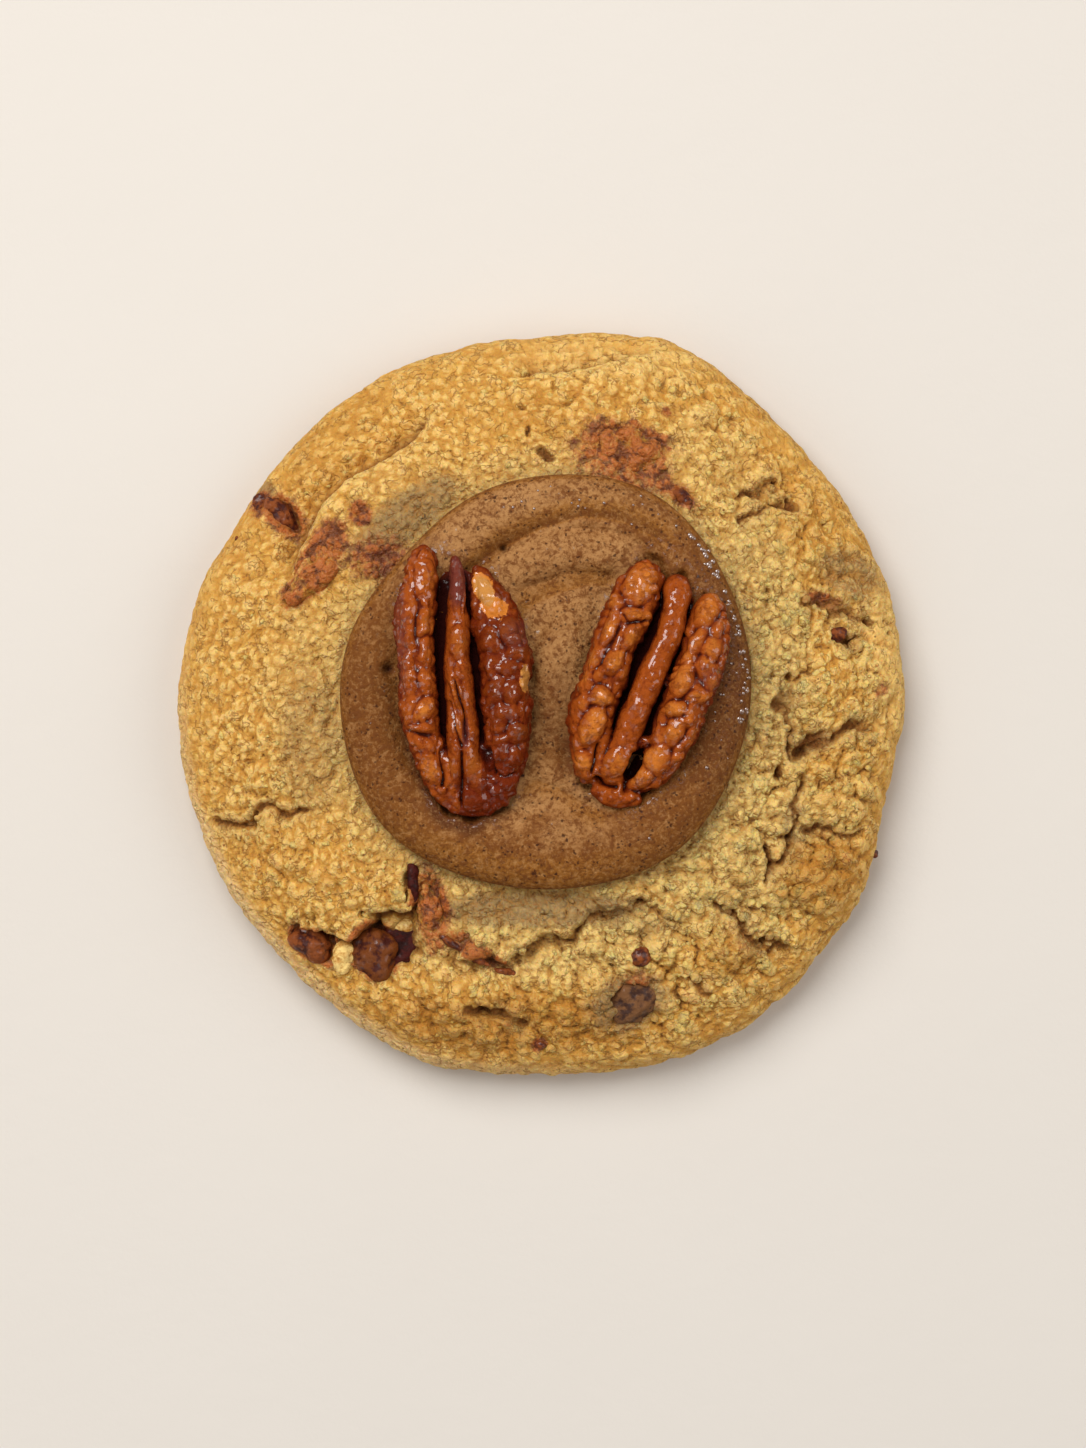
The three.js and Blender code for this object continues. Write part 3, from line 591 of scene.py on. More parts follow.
def dough_finish(name):
    f = Finish(name)
    hollow = f.own("hollow")
    mottle = f.noise(5, 3, 0.6)
    patch = f.noise(2.1, 3, 0.6)
    fine = f.noise(0.55, 3, 0.65)
    drift, blotch, grit = mottle - 0.5, patch - 0.5, fine - 0.5
    curls = f.noise(1.5, 2, 0.55, f.warped(1.4, 0.35))
    crease = f.rise(curls, 0.455, 0.5) * f.rise(curls, 0.545, 0.5) * f.rise(patch, 0.42, 0.56)
    grain_seam = f.seams(1.15, f.warped(0.7, 0.34))
    gap = f.rise(grain_seam, 0.16, 0.0) * f.rise(mottle + fine, 0.85, 1.1)
    # the bake, patch by patch
    colour = f.over(GOLD, PALE, f.own("pale") + drift * 0.6, 0.1, 0.9)
    colour = f.over(colour, BAKED, f.own("baked") + drift * 0.9, 0.2, 0.9)
    colour = f.over(colour, RIM, f.own("bare"), 0.2, 0.9)
    # painted light: CREAM laid where the crust would lie in shade, at its top and right-hand rim
    colour = f.mix(f.own("light") * 0.5, colour, CREAM)
    # CREAM in patches and, as painted highlight, on the bumps; orange-brown patches; a greyish tone,
    # with painted shade by the cracks and the icing; and painted shade in orange-brown and dark brown
    # in the hollows and in the seams and creases between the crumbs
    unbaked = 1 - f.own("baked") * 0.7
    colour = f.mix(f.rise(patch + grit * 0.5, 0.5, 0.72, 0, 0.5) * unbaked, colour, CREAM)
    colour = f.mix(f.rise(hollow + grit * 0.12, 0.0, -0.12, 0, 0.68) * unbaked, colour, CREAM)
    colour = f.over(colour, AMBER, patch, 0.48, 0.3, 0.45)
    colour = f.over(colour, GREY_AND_SHADE, f.own("grey_and_shade") + grit * 0.6 + blotch * 0.5, 0.15, 0.95, 0.85)
    colour = f.over(colour, AMBER, hollow + grit * 0.12, 0.02, 0.13, 0.4)
    colour = f.over(colour, CREVICE_SHADE_AND_DOTS, hollow + grit * 0.14, 0.12, 0.45, 0.75)
    colour = f.over(colour, CREVICE_SHADE_AND_DOTS, f.own("deep"), 0.3, 1.3, 0.5)
    colour = f.mix(gap * 0.3, colour, AMBER)
    colour = f.mix(crease * 0.7, colour, CREASE_SHADE)
    # toffee and nut that stain the crumb, darker in its hollows as painted shade; then painted shade in the
    # cracks and pits and under the folds; dark dots and specks of sugar
    toffee = f.over(STAIN_LIGHT, STAIN, patch + grit * 0.5 + hollow, 0.38, 0.62)
    stained = f.own("stain") + blotch * 1.3 + grit * 1.0 - hollow * 0.8
    colour = f.over(colour, toffee, stained, 0.15, 0.9, 0.92)
    colour = f.mix(f.own("crack"), colour, CREVICE_SHADE_AND_DOTS)
    dots = f.rise(f.cells(1.7), 0.12, 0.06) * f.rise(mottle, 0.45, 0.55)
    colour = f.mix(dots * 0.85, colour, CREVICE_SHADE_AND_DOTS)
    sugar = f.rise(f.cells(0.5), 0.2, 0.1) * f.rise(fine, 0.5, 0.6)
    relief = f.rise(grain_seam, 0.0, 0.4) * 0.9 + fine * 1.0 - crease * 0.5 + f.noise(0.25) * 0.3
    return f.skin(
        Base_Color=colour,
        Roughness=0.75 - sugar * 0.45 - f.own("stain") * 0.4,
        Normal=f.bump(relief, 0.26),
        Specular_IOR_Level=0.25,
        Subsurface_Weight=0.4,
        Subsurface_Radius=(1.0, 0.5, 0.15),
        Subsurface_Scale=1.7 * MM,
    )


def icing_finish():
    f = Finish("soft brown butter icing")
    cloud = f.noise(3.2, 4, 0.62, f.warped(4, 1.5))
    grain = f.noise(0.5, 4, 0.7)
    place = f.warped(0.6, 0.35)
    streak = f.noise(1.2, 4, 0.75, f.warped(2.5, 1.2))
    drift, grit = cloud - 0.5, grain - 0.5
    cream_and_painted_light = f.own("cream_and_painted_light")
    # creamier where painted, with painted light on the ring's top and lower fan and painted shade on its
    # right, and painted shade in the creases and at its lip; then streaks, syrup with more painted shade, and
    # grain
    colour = f.over(ICING_WARM, ICING_CREAM, cream_and_painted_light + drift * 2.4, 0.0, 1.0)
    colour = f.over(colour, ICING_PALE, cream_and_painted_light + drift * 1.6, 0.9, 1.9)
    amber_shade = f.own("amber_shade")
    # painted shade in the creases between the turns, along the ring's lower outer band and at its lip
    colour = f.over(colour, ICING_AMBER, amber_shade + drift * 0.7, 0.15, 0.8, 0.85)
    colour = f.over(colour, ICING_DEEP, amber_shade + drift * 0.3, 0.7, 1.0, 0.55)
    colour = f.over(colour, ICING_RUST, streak, 0.50, 0.60, 0.85)
    colour = f.over(colour, ICING_CREAM, streak, 0.48, 0.38, 0.5)
    # ICING_DEEP where syrup lies by the left nut, and as painted shade between the nuts, on the ring's sides
    # and at its foot
    colour = f.over(colour, ICING_DEEP, f.own("syrup") + drift * 0.5, 0.15, 0.95, 0.9)
    colour = f.over(colour, ICING_RUST, grain, 0.50, 0.62, 0.6)
    colour = f.over(colour, ICING_PALE, grain, 0.48, 0.38, 0.22)
    speck = f.rise(f.cells(0.65, place), 0.36, 0.18) * f.rise(f.noise(1.3, 2), 0.45, 0.6)
    fleck = f.rise(f.cells(1.5, place), 0.17, 0.09) * f.rise(cloud, 0.35, 0.5)
    colour = f.mix(speck * 0.8, colour, SPECK)
    colour = f.mix(fleck * 0.85, colour, SPECK)
    # painted shade in the pits
    colour = f.mix(f.own("pit_shade"), colour, SPECK)
    glint = f.rise(f.cells(1.3, place), 0.13, 0.07)
    wet = f.own("wet")
    return f.skin(
        Base_Color=colour,
        Roughness=0.58 - wet * 0.1 + grit * 0.5,
        Normal=f.bump(streak * 1.1 + grain * 1.0 + glint * 0.5, 0.24),
        Specular_IOR_Level=0.12,
        Coat_Weight=wet * f.rise(grain, 0.52, 0.64) + glint * 0.8,
        Coat_Roughness=0.08,
    )


def pecan_finish():
    f = Finish("syrup-glazed pecan")
    hollow = f.own("hollow")
    mottle = f.noise(2.2, 4, 0.65)
    fine = f.noise(0.5, 4, 0.7)
    vein = f.noise(1.0, 3, 0.6, f.warped(1.5, 0.8))
    drift, grit, strand = mottle - 0.5, fine - 0.5, vein - 0.5
    # painted highlight: orange on the upturned crests of the bulges, broken by mottle
    crest = f.own("crest") + grit * 0.8 + drift * 1.6
    colour = f.over(PECAN_AMBER, PECAN_ORANGE, crest, 0.35, 1.2, 0.85)
    colour = f.over(colour, PECAN_RUST, f.own("red") + drift * 1.2, 0.1, 1.0, 0.85)
    colour = f.over(colour, PECAN_RUST, vein, 0.52, 0.64, 0.5)
    # painted shade: rust down the slopes below the crests and in the hollows, near black deep in the hollows
    colour = f.over(colour, PECAN_RUST, f.own("slope_shade") + strand * 0.8, 0.25, 1.0, 0.8)
    colour = f.over(colour, PECAN_RUST, hollow + grit * 0.16, -0.04, 0.11, 0.85)
    colour = f.over(colour, PECAN_DARK, hollow + grit * 0.1, 0.05, 0.2, 0.85)
    colour = f.over(colour, PECAN_PURPLE, f.own("purple") + grit * 0.9, 0.2, 0.9, 0.8)
    # painted shade: near black in the grooves between the lobes
    colour = f.over(colour, PECAN_DARK, f.own("groove"), 0.0, 0.8)
    # bare flesh where the skin is scraped
    flesh = f.over(PECAN_ORANGE, PECAN_PALE, f.own("scraped_light") + drift * 0.6, 0.3, 0.8)
    colour = f.over(colour, flesh, f.own("scraped") + grit * 0.9 + strand * 1.6, 0.35, 0.6)
    return f.skin(
        Base_Color=colour,
        Roughness=0.5 + f.own("groove") * 0.3,
        Normal=f.bump(f.noise(0.9, 4, 0.65) + fine * 0.6 + vein * 0.8, 0.26),
        Specular_IOR_Level=0.06,
        Coat_Weight=f.rise(f.noise(0.7, 3), 0.51, 0.59) * (1 - f.own("groove")),
        Coat_Roughness=0.06,
        Coat_IOR=1.7,
    )


def bead_finish():
    f = Finish("syrup beads")
    colour = f.mix(f.noise(1.2), ICING_WARM, ICING_DEEP)
    return f.skin(Base_Color=colour, Roughness=0.3, Coat_Weight=1.0, Coat_Roughness=0.05, Coat_IOR=2.4)


def nut_finish(name, light, dark, gloss):
    f = Finish(name)
    mottle = f.noise(1.6, 4, 0.65)
    fine = f.noise(0.45, 3, 0.65)
    hollow = f.own("hollow")
    # darker in the hollows, partly with the mottle and then deep in them, as painted shade
    colour = f.over(light, dark, mottle + (fine - 0.5) * 0.5 + hollow * 1.4, 0.36, 0.62)
    colour = f.over(colour, PECAN_DARK, hollow, 0.03, 0.2, 0.9)
    return f.skin(
        Base_Color=colour,
        Roughness=0.6,
        Normal=f.bump(f.noise(0.7, 4, 0.65) + fine * 0.5, 0.3),
        Specular_IOR_Level=0.2,
        Coat_Weight=f.rise(f.noise(0.9, 3), 0.47, 0.6, 0, gloss),
        Coat_Roughness=0.1,
    )


# ---------------------------------------------------------------- the dough


def dome_height(x, y):
    """The plain dome of the dough, on which the icing lies."""
    share = np.minimum(1, np.hypot(x, y) / outline_radius(COOKIE, bearing_of(x, y)))
    full = COOKIE["fullness"]
    return COOKIE["waist"] + COOKIE["crown"] * (1 - share**full) ** (1 / full)


def outside_icing(x, y):
    dx, dy = x - ICING["centre"][0], y - ICING["centre"][1]
    return np.hypot(dx, dy) - outline_radius(ICING, bearing_of(dx, dy))


def by_fold(fold, x, y, jag):
    path, _, _, _, _, ragged = fold
    return by_path(path, x + ragged * jag[:, 0], y + ragged * jag[:, 1])


def fold_relief(fold, x, y, jag):
    _, up, sink, shelf, lip, _ = fold
    distance, side, along = by_fold(fold, x, y, jag)
    rounded = np.sqrt(1 - (1 - np.minimum(distance / lip, 1)) ** 2)
    over = blend(-sink, up, rounded) * hill(distance, 9)
    under = -sink * hill(distance, 1.9) - shelf * hill(distance, 11) * rise(distance, 0, 2)
    return fade_ends(along, 0.2) * np.where(side > 0, over, under)


def crack_relief(crack, x, y):
    path, deep, half = crack
    distance, _, along = by_path(path, x, y)
    slot = 0.5 * rise(distance, 0.7 * half, 0.1 * half) + 0.2 * hill(distance, 1.9 * half)
    return -deep * slot * fade_ends(along, 0.12)


def brokenness(x, y):
    """How broken the crust is, from 0 to 1: the right side is, the far left is smooth."""
    return hill(apart(bearing_of(x, y), CRAGS["bearing"]), CRAGS["spread"])


def crumbled(x, y):
    """How coarse the crumb is, from 0 to 1: fine at the upper left, like popcorn at the lower right."""
    bearing = bearing_of(x, y)
    return (1 - hill(apart(bearing, 125), 42)) * blend(0.5, 1, hill(apart(bearing, -30), 75))


# How far the jag moves the cracks and crags, and the pits.
CRACK_STRAY, PIT_STRAY = 1.1, 1.5


def crag_relief(x, y, z):
    high = CRAGS["high"] * blend(CRAGS["least"], CRAGS["most"], brokenness(x, y))
    return high * (packed(x + 0.9 * z, y - 0.8 * z, CRAGS["pitch"], 3) - 0.55)


def strayed(x, y, jag, reach):
    """Places moved about by the jag, up to about this far."""
    return x + reach * jag[:, 0], y + reach * jag[:, 1]


def main_relief(x, y, z, jag):
    """The large relief, which the solid has too."""
    jx, jy = strayed(x, y, jag, CRACK_STRAY)
    wx, wy = strayed(x, y, jag[:, ::-1], PIT_STRAY)
    at_rim = rise(np.hypot(x, y) / outline_radius(COOKIE, bearing_of(x, y)), 0.9, 1)
    relief = 0.75 * crag_relief(jx, jy, z) * (1 - 0.5 * at_rim)
    for fold in FOLDS:
        relief = relief + fold_relief(fold, x, y, jag)
    for crack in CRACKS:
        relief = relief + crack_relief(crack, jx, jy)
    for (sx, sy), half, high in SWELLS:
        relief = relief + high * hill(np.hypot(x - sx, y - sy), half)
    for centre, half, deep in PITS:
        relief = relief - 0.8 * deep * rise(in_ellipse(wx, wy, centre, half, 0), 1.3, 0.4)
    return relief * rise(outside_icing(x, y), 0.3, 3) * rise(z, 0.4, 3.5)


def crack_shade(x, y, jag):
    """Painted shade in the crust's cracks and pits and under its folds, and how near the cracks it is."""
    jx, jy = strayed(x, y, jag, CRACK_STRAY)
    wx, wy = strayed(x, y, jag[:, ::-1], PIT_STRAY)
    dark = np.zeros(x.shape)
    band = np.zeros(x.shape)
    for path, _, half in CRACKS:
        distance, _, along = by_path(path, jx, jy)
        broken = 0.35 + 0.5 * rise(jag[:, 0], -0.5, 0.6)
        dark = np.maximum(dark, broken * rise(distance, 0.7 * half, 0.1 * half) * fade_ends(along, 0.15))
        band = np.maximum(band, hill(distance, 2.4 * half) * fade_ends(along, 0.1))
    for fold in FOLDS:
        distance, side, along = by_fold(fold, x, y, jag)
        near = np.where(side > 0, hill(distance, 0.3), hill(distance, 0.8))
        dark = np.maximum(dark, fold[2] / 2.7 * 0.6 * near * fade_ends(along, 0.2))
    for centre, half, deep in PITS:
        dark = np.maximum(dark, min(1, deep) * rise(in_ellipse(wx, wy, centre, half, 0), 1.15, 0.5))
    return dark, band


CRUMB = {"clump": 4.6, "small": 2.2, "grain": 1.4}  # how wide a clump, a small clump and a grain are


def crumb_relief(points, coarse, calm):
    """Clumps, small clumps and grains.

    Coarse crumb has high clumps with deep creases. Calm crust, at the rim, is almost smooth.
    """
    warp = np.stack([rough_noise(points, 2.4, 21 + 9 * k, 3) for k in range(3)], axis=1)
    place = points + 0.7 * warp
    clump, next_clump, step = grains(place, CRUMB["clump"], 11)
    small, next_small, small_step = grains(place, CRUMB["small"], 81)
    grain, next_grain, _ = grains(points + 0.28 * warp, CRUMB["grain"], 31)
    opens = rise(soft_noise(points, 4.5, 27) + 0.3 * coarse, -0.2, 0.6)
    relief = blend(0.3, 0.75, coarse) * (0.4 - clump**2) + blend(0.15, 0.4, coarse) * (0.35 - small**2)
    relief += blend(0.05, 0.3, coarse) * (step + small_step - 1)
    relief -= blend(0.25, 0.65, coarse) * np.exp(-10 * (next_clump - clump)) * opens
    relief -= blend(0.15, 0.3, coarse) * np.exp(-10 * (next_small - small)) * opens
    relief += 0.52 * (0.3 - grain**2) - 0.18 * np.exp(-9 * (next_grain - grain))
    return relief * blend(1, 0.35, calm)


def lump_place(name):
    low, high = (np.array(corner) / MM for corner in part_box(name))
    return (low + high) / 2 + LUMPS[name][2]


def around_lumps(x, y, wobble):
    """How far the dough draws in over the lumps, and the share by which it is stained by them."""
    relief = np.zeros(x.shape)
    stain = np.zeros(x.shape)
    for name, (half, turn, _) in LUMPS.items():
        share = in_ellipse(x, y, lump_place(name)[:2], half[:2], turn) + 0.3 * wobble
        relief += -(0.5 if name in SOAKED else 1.8) * rise(share, 1.0, 0.7)
        if name != "nut_piece_base_side":
            stain = np.maximum(stain, 0.85 * rise(share, 1.45, 0.75))
    return relief, stain


# Coloured patches on the crust: place, half sizes, turn, strength. Stains are red-brown, the grey and shade
# patches greyish and partly painted shade, the pale and baked ones paler and darker, and the painted lights
# lighten the crust where it would lie in shade.
STAINS = [
    ((9.6, 30.6), (7, 4.6), -24, 0.8), ((14.6, 27.8), (3.4, 1.8), -38, 0.8),
    ((17.4, 25.8), (2.4, 1.3), -38, 1), ((-26.4, 19.6), (2.7, 3.4), -30, 0.95),
    ((-28.7, 17), (2, 3), -35, 0.9), ((-31, 13.8), (0.9, 2.6), -20, 0.9), ((-19.8, 17.6), (5, 3.2), -5, 0.75),
    ((-22.3, 23.3), (1.7, 1.6), 0, 1), ((-35.8, 25.4), (1.6, 2.2), -20, 0.8),
    ((-32.4, 23.6), (2.4, 3.4), 42, 0.8), ((-8.6, -30.6), (5.4, 1.3), -30, 0.9),
    ((-13.6, -25.6), (2.4, 5.6), 8, 0.9), ((42.3, 1.7), (1.2, 0.8), 30, 0.7),
    ((-0.2, -42.6), (1.2, 0.9), 0, 0.9), ((35.3, 12.9), (2.6, 1), -20, 0.8),
    ((15.6, 36.2), (0.9, 0.7), 0, 0.8), ((12.2, -34.6), (2, 1.6), 0, 0.5), ((12.6, -37.4), (1.4, 1), 20, 0.9),
]
GREY_AND_SHADE_PATCHES = [
    ((38.6, 16.1), (5.2, 3.4), -30, 0.7), ((10.7, -37.1), (5.6, 3.9), 18, 0.95),
    ((-16.9, 22.8), (9.4, 3.3), 38, 0.85), ((-35.4, 27), (1.8, 1.8), 0, 0.8),
    ((-7.4, -25.8), (6, 2.2), -8, 0.75), ((14, -27.5), (4, 1.6), 10, 0.5),
    ((-28.6, -4.6), (4.5, 12), 0, 0.55), ((0, -25.4), (15, 2.6), 0, 0.85),
    ((28.6, -4), (2.6, 6), 0, 0.4), ((8.5, -27.4), (3, 1.3), 0, 0.6), ((34.6, -4.6), (3.4, 1.6), 20, 0.7),
    ((31.5, -15), (1.8, 4), 0, 0.6),
]
PALES = [
    ((24, -18), (12, 13), -45, 0.85), ((27, 8), (6.5, 18), 8, 0.9), ((2, -29), (18, 6), 4, 0.9),
    ((-20, 24), (12, 5), 42, 0.4), ((20, 29), (9, 9), -30, 0.5), ((-28, 0), (8, 16), 0, 0.45),
]
BAKEDS = [
    ((-4, -40), (20, 4.5), -2, 0.9), ((34.5, -21), (6, 5), 20, 0.9), ((38, -8), (6, 4), 0, 0.45),
    ((-33, -20), (9, 5), 60, 0.3), ((0, -41), (16, 3), 4, 0.55), ((-2, 35), (7, 4), 0, 0.4),
    ((33, 24), (5, 8), 35, 0.45), ((-27, 33), (13, 3.5), 45, 0.5), ((23.5, -31), (4, 4), 0, 0.7),
]
PAINTED_LIGHTS = [((8, 43), (11, 3), -4, 0.8), ((43, 6), (3.4, 11), 6, 0.9), ((38.6, -10.8), (3.5, 3), 0, 0.5)]


def patches(spots, x, y):
    """The strongest of some soft-edged patches at each point."""
    value = np.zeros(x.shape)
    for centre, half, turn, strength in spots:
        value = np.maximum(value, strength * rise(in_ellipse(x, y, centre, half, turn), 1.4, 0.5))
    return value


# The crust's ball: of its rings, the first few are under the icing and the last few close the flat base.
DOUGH_STEPS = {"segments": 688, "rings": 144, "hidden": 4, "base": 4}
ICING_MARGIN = 1.6  # how far in under the icing's edge the rings that show begin


def dough_profile():
    """The dome's side as close rows: share of the reach, inset, height, the normal, and the length so far."""
    full = COOKIE["fullness"]
    a = np.linspace(0, math.pi / 2, 1200)
    share = np.sin(a) ** (2 / full)
    z = COOKIE["waist"] + COOKIE["crown"] * np.cos(a) ** (2 / full)
    b = np.linspace(0, math.pi / 2, 200)[1:]
    share = np.append(share, np.ones(len(b)))
    inset = np.append(np.zeros(len(a)), COOKIE["tuck"] * (1 - np.cos(b)))
    z = np.append(z, COOKIE["waist"] * (1 - np.sin(b)))
    reach = share * COOKIE["radius"] - inset
    length = np.append(0, np.cumsum(np.hypot(np.diff(reach), np.diff(z))))
    out = share ** (full - 1) / COOKIE["radius"]
    up = np.maximum(0, (z - COOKIE["waist"]) / COOKIE["crown"]) ** (full - 1) / COOKIE["crown"]
    size = np.hypot(out, up)
    return {"share": share, "inset": inset, "z": z, "out": out / size, "up": up / size, "length": length}


def make_dough():
    steps = DOUGH_STEPS
    dough = ball("dough_crust", steps["segments"], steps["rings"])
    unit = points_of(dough)
    bearing = bearing_of(unit[:, 0], unit[:, 1])
    cos, sin = np.cos(np.radians(bearing)), np.sin(np.radians(bearing))
    row = np.arccos(np.clip(unit[:, 2], -1, 1)) / math.pi * steps["rings"]
    profile = dough_profile()
    # The first row that shows is just inside the icing's outline.
    icing_shift = ICING["centre"][0] * cos + ICING["centre"][1] * sin
    first_reach = outline_radius(ICING, bearing) + icing_shift - ICING_MARGIN
    first_length = np.interp(first_reach / COOKIE["radius"], profile["share"], profile["length"])
    shown = np.clip((row - steps["hidden"]) / (steps["rings"] - steps["hidden"] - steps["base"]), 0, 1)
    length = blend(first_length * np.minimum(1, row / steps["hidden"]), profile["length"][-1], shown)
    share, inset, z, out, up = (
        np.interp(length, profile["length"], profile[key]) for key in ("share", "inset", "z", "out", "up")
    )
    closing = np.clip((steps["rings"] - row) / steps["base"], 0, 1)
    reach = (outline_radius(COOKIE, bearing) * share - inset) * closing
    x, y = reach * cos, reach * sin
    plain = np.stack([x, y, z], axis=1)

    jag = np.stack([rough_noise(plain, 3.2, 61 + 5 * k, 4) for k in range(2)], axis=1)
    calm = rise(np.hypot(x, y) / outline_radius(COOKIE, bearing), 0.88, 0.99)
    crumbs = crumb_relief(plain, crumbled(x, y), calm)
    hollow_by_lumps, stain = around_lumps(x, y, jag[:, 0])
    open_crust = rise(outside_icing(x, y), -0.8, 0.8) * rise(z, 0.0, 1.6)
    relief = main_relief(x, y, z, jag) + (crumbs + hollow_by_lumps) * open_crust
    moved = reach + relief * out
    points = np.stack([moved * cos, moved * sin, np.maximum(z + relief * up, 0)], axis=1)
    move_points(dough, points)

    # Blender lists a ball's points in another order on each run, and the crumbs need one that stays.
    column = np.round(bearing / 360 * steps["segments"]) % steps["segments"]
    paint(dough, "number", np.round(row) * steps["segments"] + column)
    # painted shade in the cracks and pits and under the folds, and the band beside the cracks
    dark, band = crack_shade(x, y, jag)
    paint(dough, "crack", 0.9 * dark * open_crust)
    paint_bake_and_shade(dough, plain, bearing, calm)
    above_waist = rise(z, 2.5, 6)
    paint(dough, "stain", np.maximum(stain, patches(STAINS, x, y)) * above_waist)
    # painted shade beside the icing, wider on its right-hand side, and along the cracks, with greyish patches
    by_icing = hill(np.maximum(outside_icing(x, y), 0), blend(1.5, 4.5, hill(apart(bearing, 5), 55)))
    grey_and_shade = np.maximum(0.5 * np.maximum(by_icing, band), patches(GREY_AND_SHADE_PATCHES, x, y))
    paint(dough, "grey_and_shade", grey_and_shade * above_waist)
    return dough


def paint_bake_and_shade(dough, plain, bearing, calm):
    """Keeps how hollow the crust is, for painted highlight and shade, how pale, baked and bare, and its
    painted light.
    """
    x, y, _ = plain.T
    far = np.hypot(x, y) / outline_radius(COOKIE, bearing)
    near_icing = hill(np.maximum(outside_icing(x, y), 0), 5)
    # how hollow the crust is, finely and broadly, for painted highlight on its bumps and painted shade in its
    # hollows
    paint(dough, "hollow", hollows(dough, 8))
    paint(dough, "deep", hollows(dough, 90))
    paint(dough, "pale", np.maximum(0.7 * near_icing, patches(PALES, x, y)) * (1 - calm))
    paint(dough, "baked", np.maximum(0.35 * calm, patches(BAKEDS, x, y)))
    paint(dough, "bare", rise(far, 0.94, 0.99) * hill(apart(bearing, 225), 55))
    # painted light at the crust's top and right-hand rim
    paint(dough, "light", patches(PAINTED_LIGHTS, x, y))


PAINTED_ON_DOUGH = ("hollow", "deep", "crack", "pale", "baked", "bare", "light", "stain", "grey_and_shade")


def copies(piece, count):
    """Repeats a piece's mesh, one copy after another, all in one place."""
    pick(piece)
    array = piece.modifiers.new("copies", "ARRAY")
    array.count = count
    array.use_relative_offset = False
    array.use_constant_offset = True
    array.constant_offset_displace = (0, 0, 0)
    bpy.ops.object.modifier_apply(modifier=array.name)


def make_crumbs(dough, name, count, small, large, seed, even, power):
    """Loose crumbs set in the crust: copies of one little lump, each worn and turned its own way.

    They lie as thickly as this power of the crumb's coarseness, with an even share all over.
    """
    draw = np.random.default_rng(seed)
    bpy.ops.object.select_all(action="DESELECT")
    bpy.ops.mesh.primitive_ico_sphere_add(subdivisions=2, radius=1)
    crumb = bpy.context.object
    crumb.name = crumb.data.name = name
    shape = points_of(crumb)
    copies(crumb, count)
    order = np.argsort(painted(dough, "number"))
    bed, normals = points_of(dough)[order], normals_of(dough)[order]
    reach = np.hypot(bed[:, 0], bed[:, 1])
    inside_rim = reach < 0.93 * outline_radius(COOKIE, bearing_of(bed[:, 0], bed[:, 1]))
    open_crust = (outside_icing(bed[:, 0], bed[:, 1]) > 0.8) & inside_rim & (bed[:, 2] > COOKIE["waist"])
    weight = open_crust * (even + crumbled(bed[:, 0], bed[:, 1]) ** power) * reach
    spots = draw.choice(len(bed), count, replace=False, p=weight / weight.sum())
    sizes = small * (large / small) ** (draw.random(count) ** 1.6)
    turns = np.linalg.qr(draw.normal(size=(count, 3, 3)))[0]
    turns *= np.sign(np.linalg.det(turns))[:, None, None]
    stretch = draw.uniform((1, 0.7, 0.5), (1.1, 1, 0.8), (count, 3))
    seeds = 50 * draw.random((count, 1, 3))
    worn = (shape[None] * 1.1 + seeds).reshape(-1, 3)
    worn = 1 + 0.42 * soft_noise(worn, 0.9, 71) + 0.2 * soft_noise(worn, 0.45, 72)
    points = shape[None] * worn.reshape(count, -1, 1) * stretch[:, None] * sizes[:, None, None] / 2
    points = np.einsum("cij,ckj->cki", turns, points)
    lifts = np.einsum("cki,ci->ck", points, normals[spots])
    points += (bed[spots] - 0.2 * sizes[:, None] * normals[spots])[:, None]
    move_points(crumb, points.reshape(-1, 3))
    for layer in PAINTED_ON_DOUGH:
        paint(crumb, layer, np.repeat(painted(dough, layer)[order[spots]], len(shape)))
    # painted highlight on the crumbs' tops and painted shade on their undersides, by how far each point
    # stands out
    paint(crumb, "hollow", (-0.35 * lifts / sizes[:, None]).ravel())
    return crumb


# ---------------------------------------------------------------- the pecan halves


LOBE_STEPS = {"segments": 40, "rings": 90}
EGG_STEPS = {"segments": 48, "rings": 32}
SKIN_VOXEL = 0.16


def squarish(value, power):
    """A cosine or sine fattened towards a square's, the more the lower the power."""
    return np.sign(value) * np.abs(value) ** power


def lobe(name, stations, blunt, salt):
    """A lobe of a nut: a rod through its stations, with blunt ends and an uneven width."""
    piece = ball(name, **LOBE_STEPS)
    unit = points_of(piece)
    share = (1 - unit[:, 2]) / 2
    bearing = np.arctan2(unit[:, 1], unit[:, 0])
    spine = through(stations, share)
    step = 0.01
    ahead = through(stations, share + step)[:, :2] - through(stations, share - step)[:, :2]
    ahead = ahead / np.linalg.norm(ahead, axis=1)[:, None]
    sway = np.stack([share * 31, np.zeros(len(share)), np.full(len(share), salt)], axis=1)
    furrow = 1 + 0.13 * soft_noise(sway, 2.4, salt)
    swell = np.sqrt(np.maximum(0, 1 - np.abs(2 * share - 1) ** blunt))
    half = 1.13 * spine[:, 2] * furrow * swell
    tall = (spine[:, 3] - PECAN_BED) / 2 * swell
    across = half * squarish(np.cos(bearing), 0.75) + 0.35 * soft_noise(sway, 4.3, salt + 2)
    points = np.stack(
        [
            spine[:, 0] - ahead[:, 1] * across,
            spine[:, 1] + ahead[:, 0] * across,
            (spine[:, 3] + PECAN_BED) / 2 + tall * squarish(np.sin(bearing), 0.9),
        ],
        axis=1,
    )
    move_points(piece, points)
    return piece


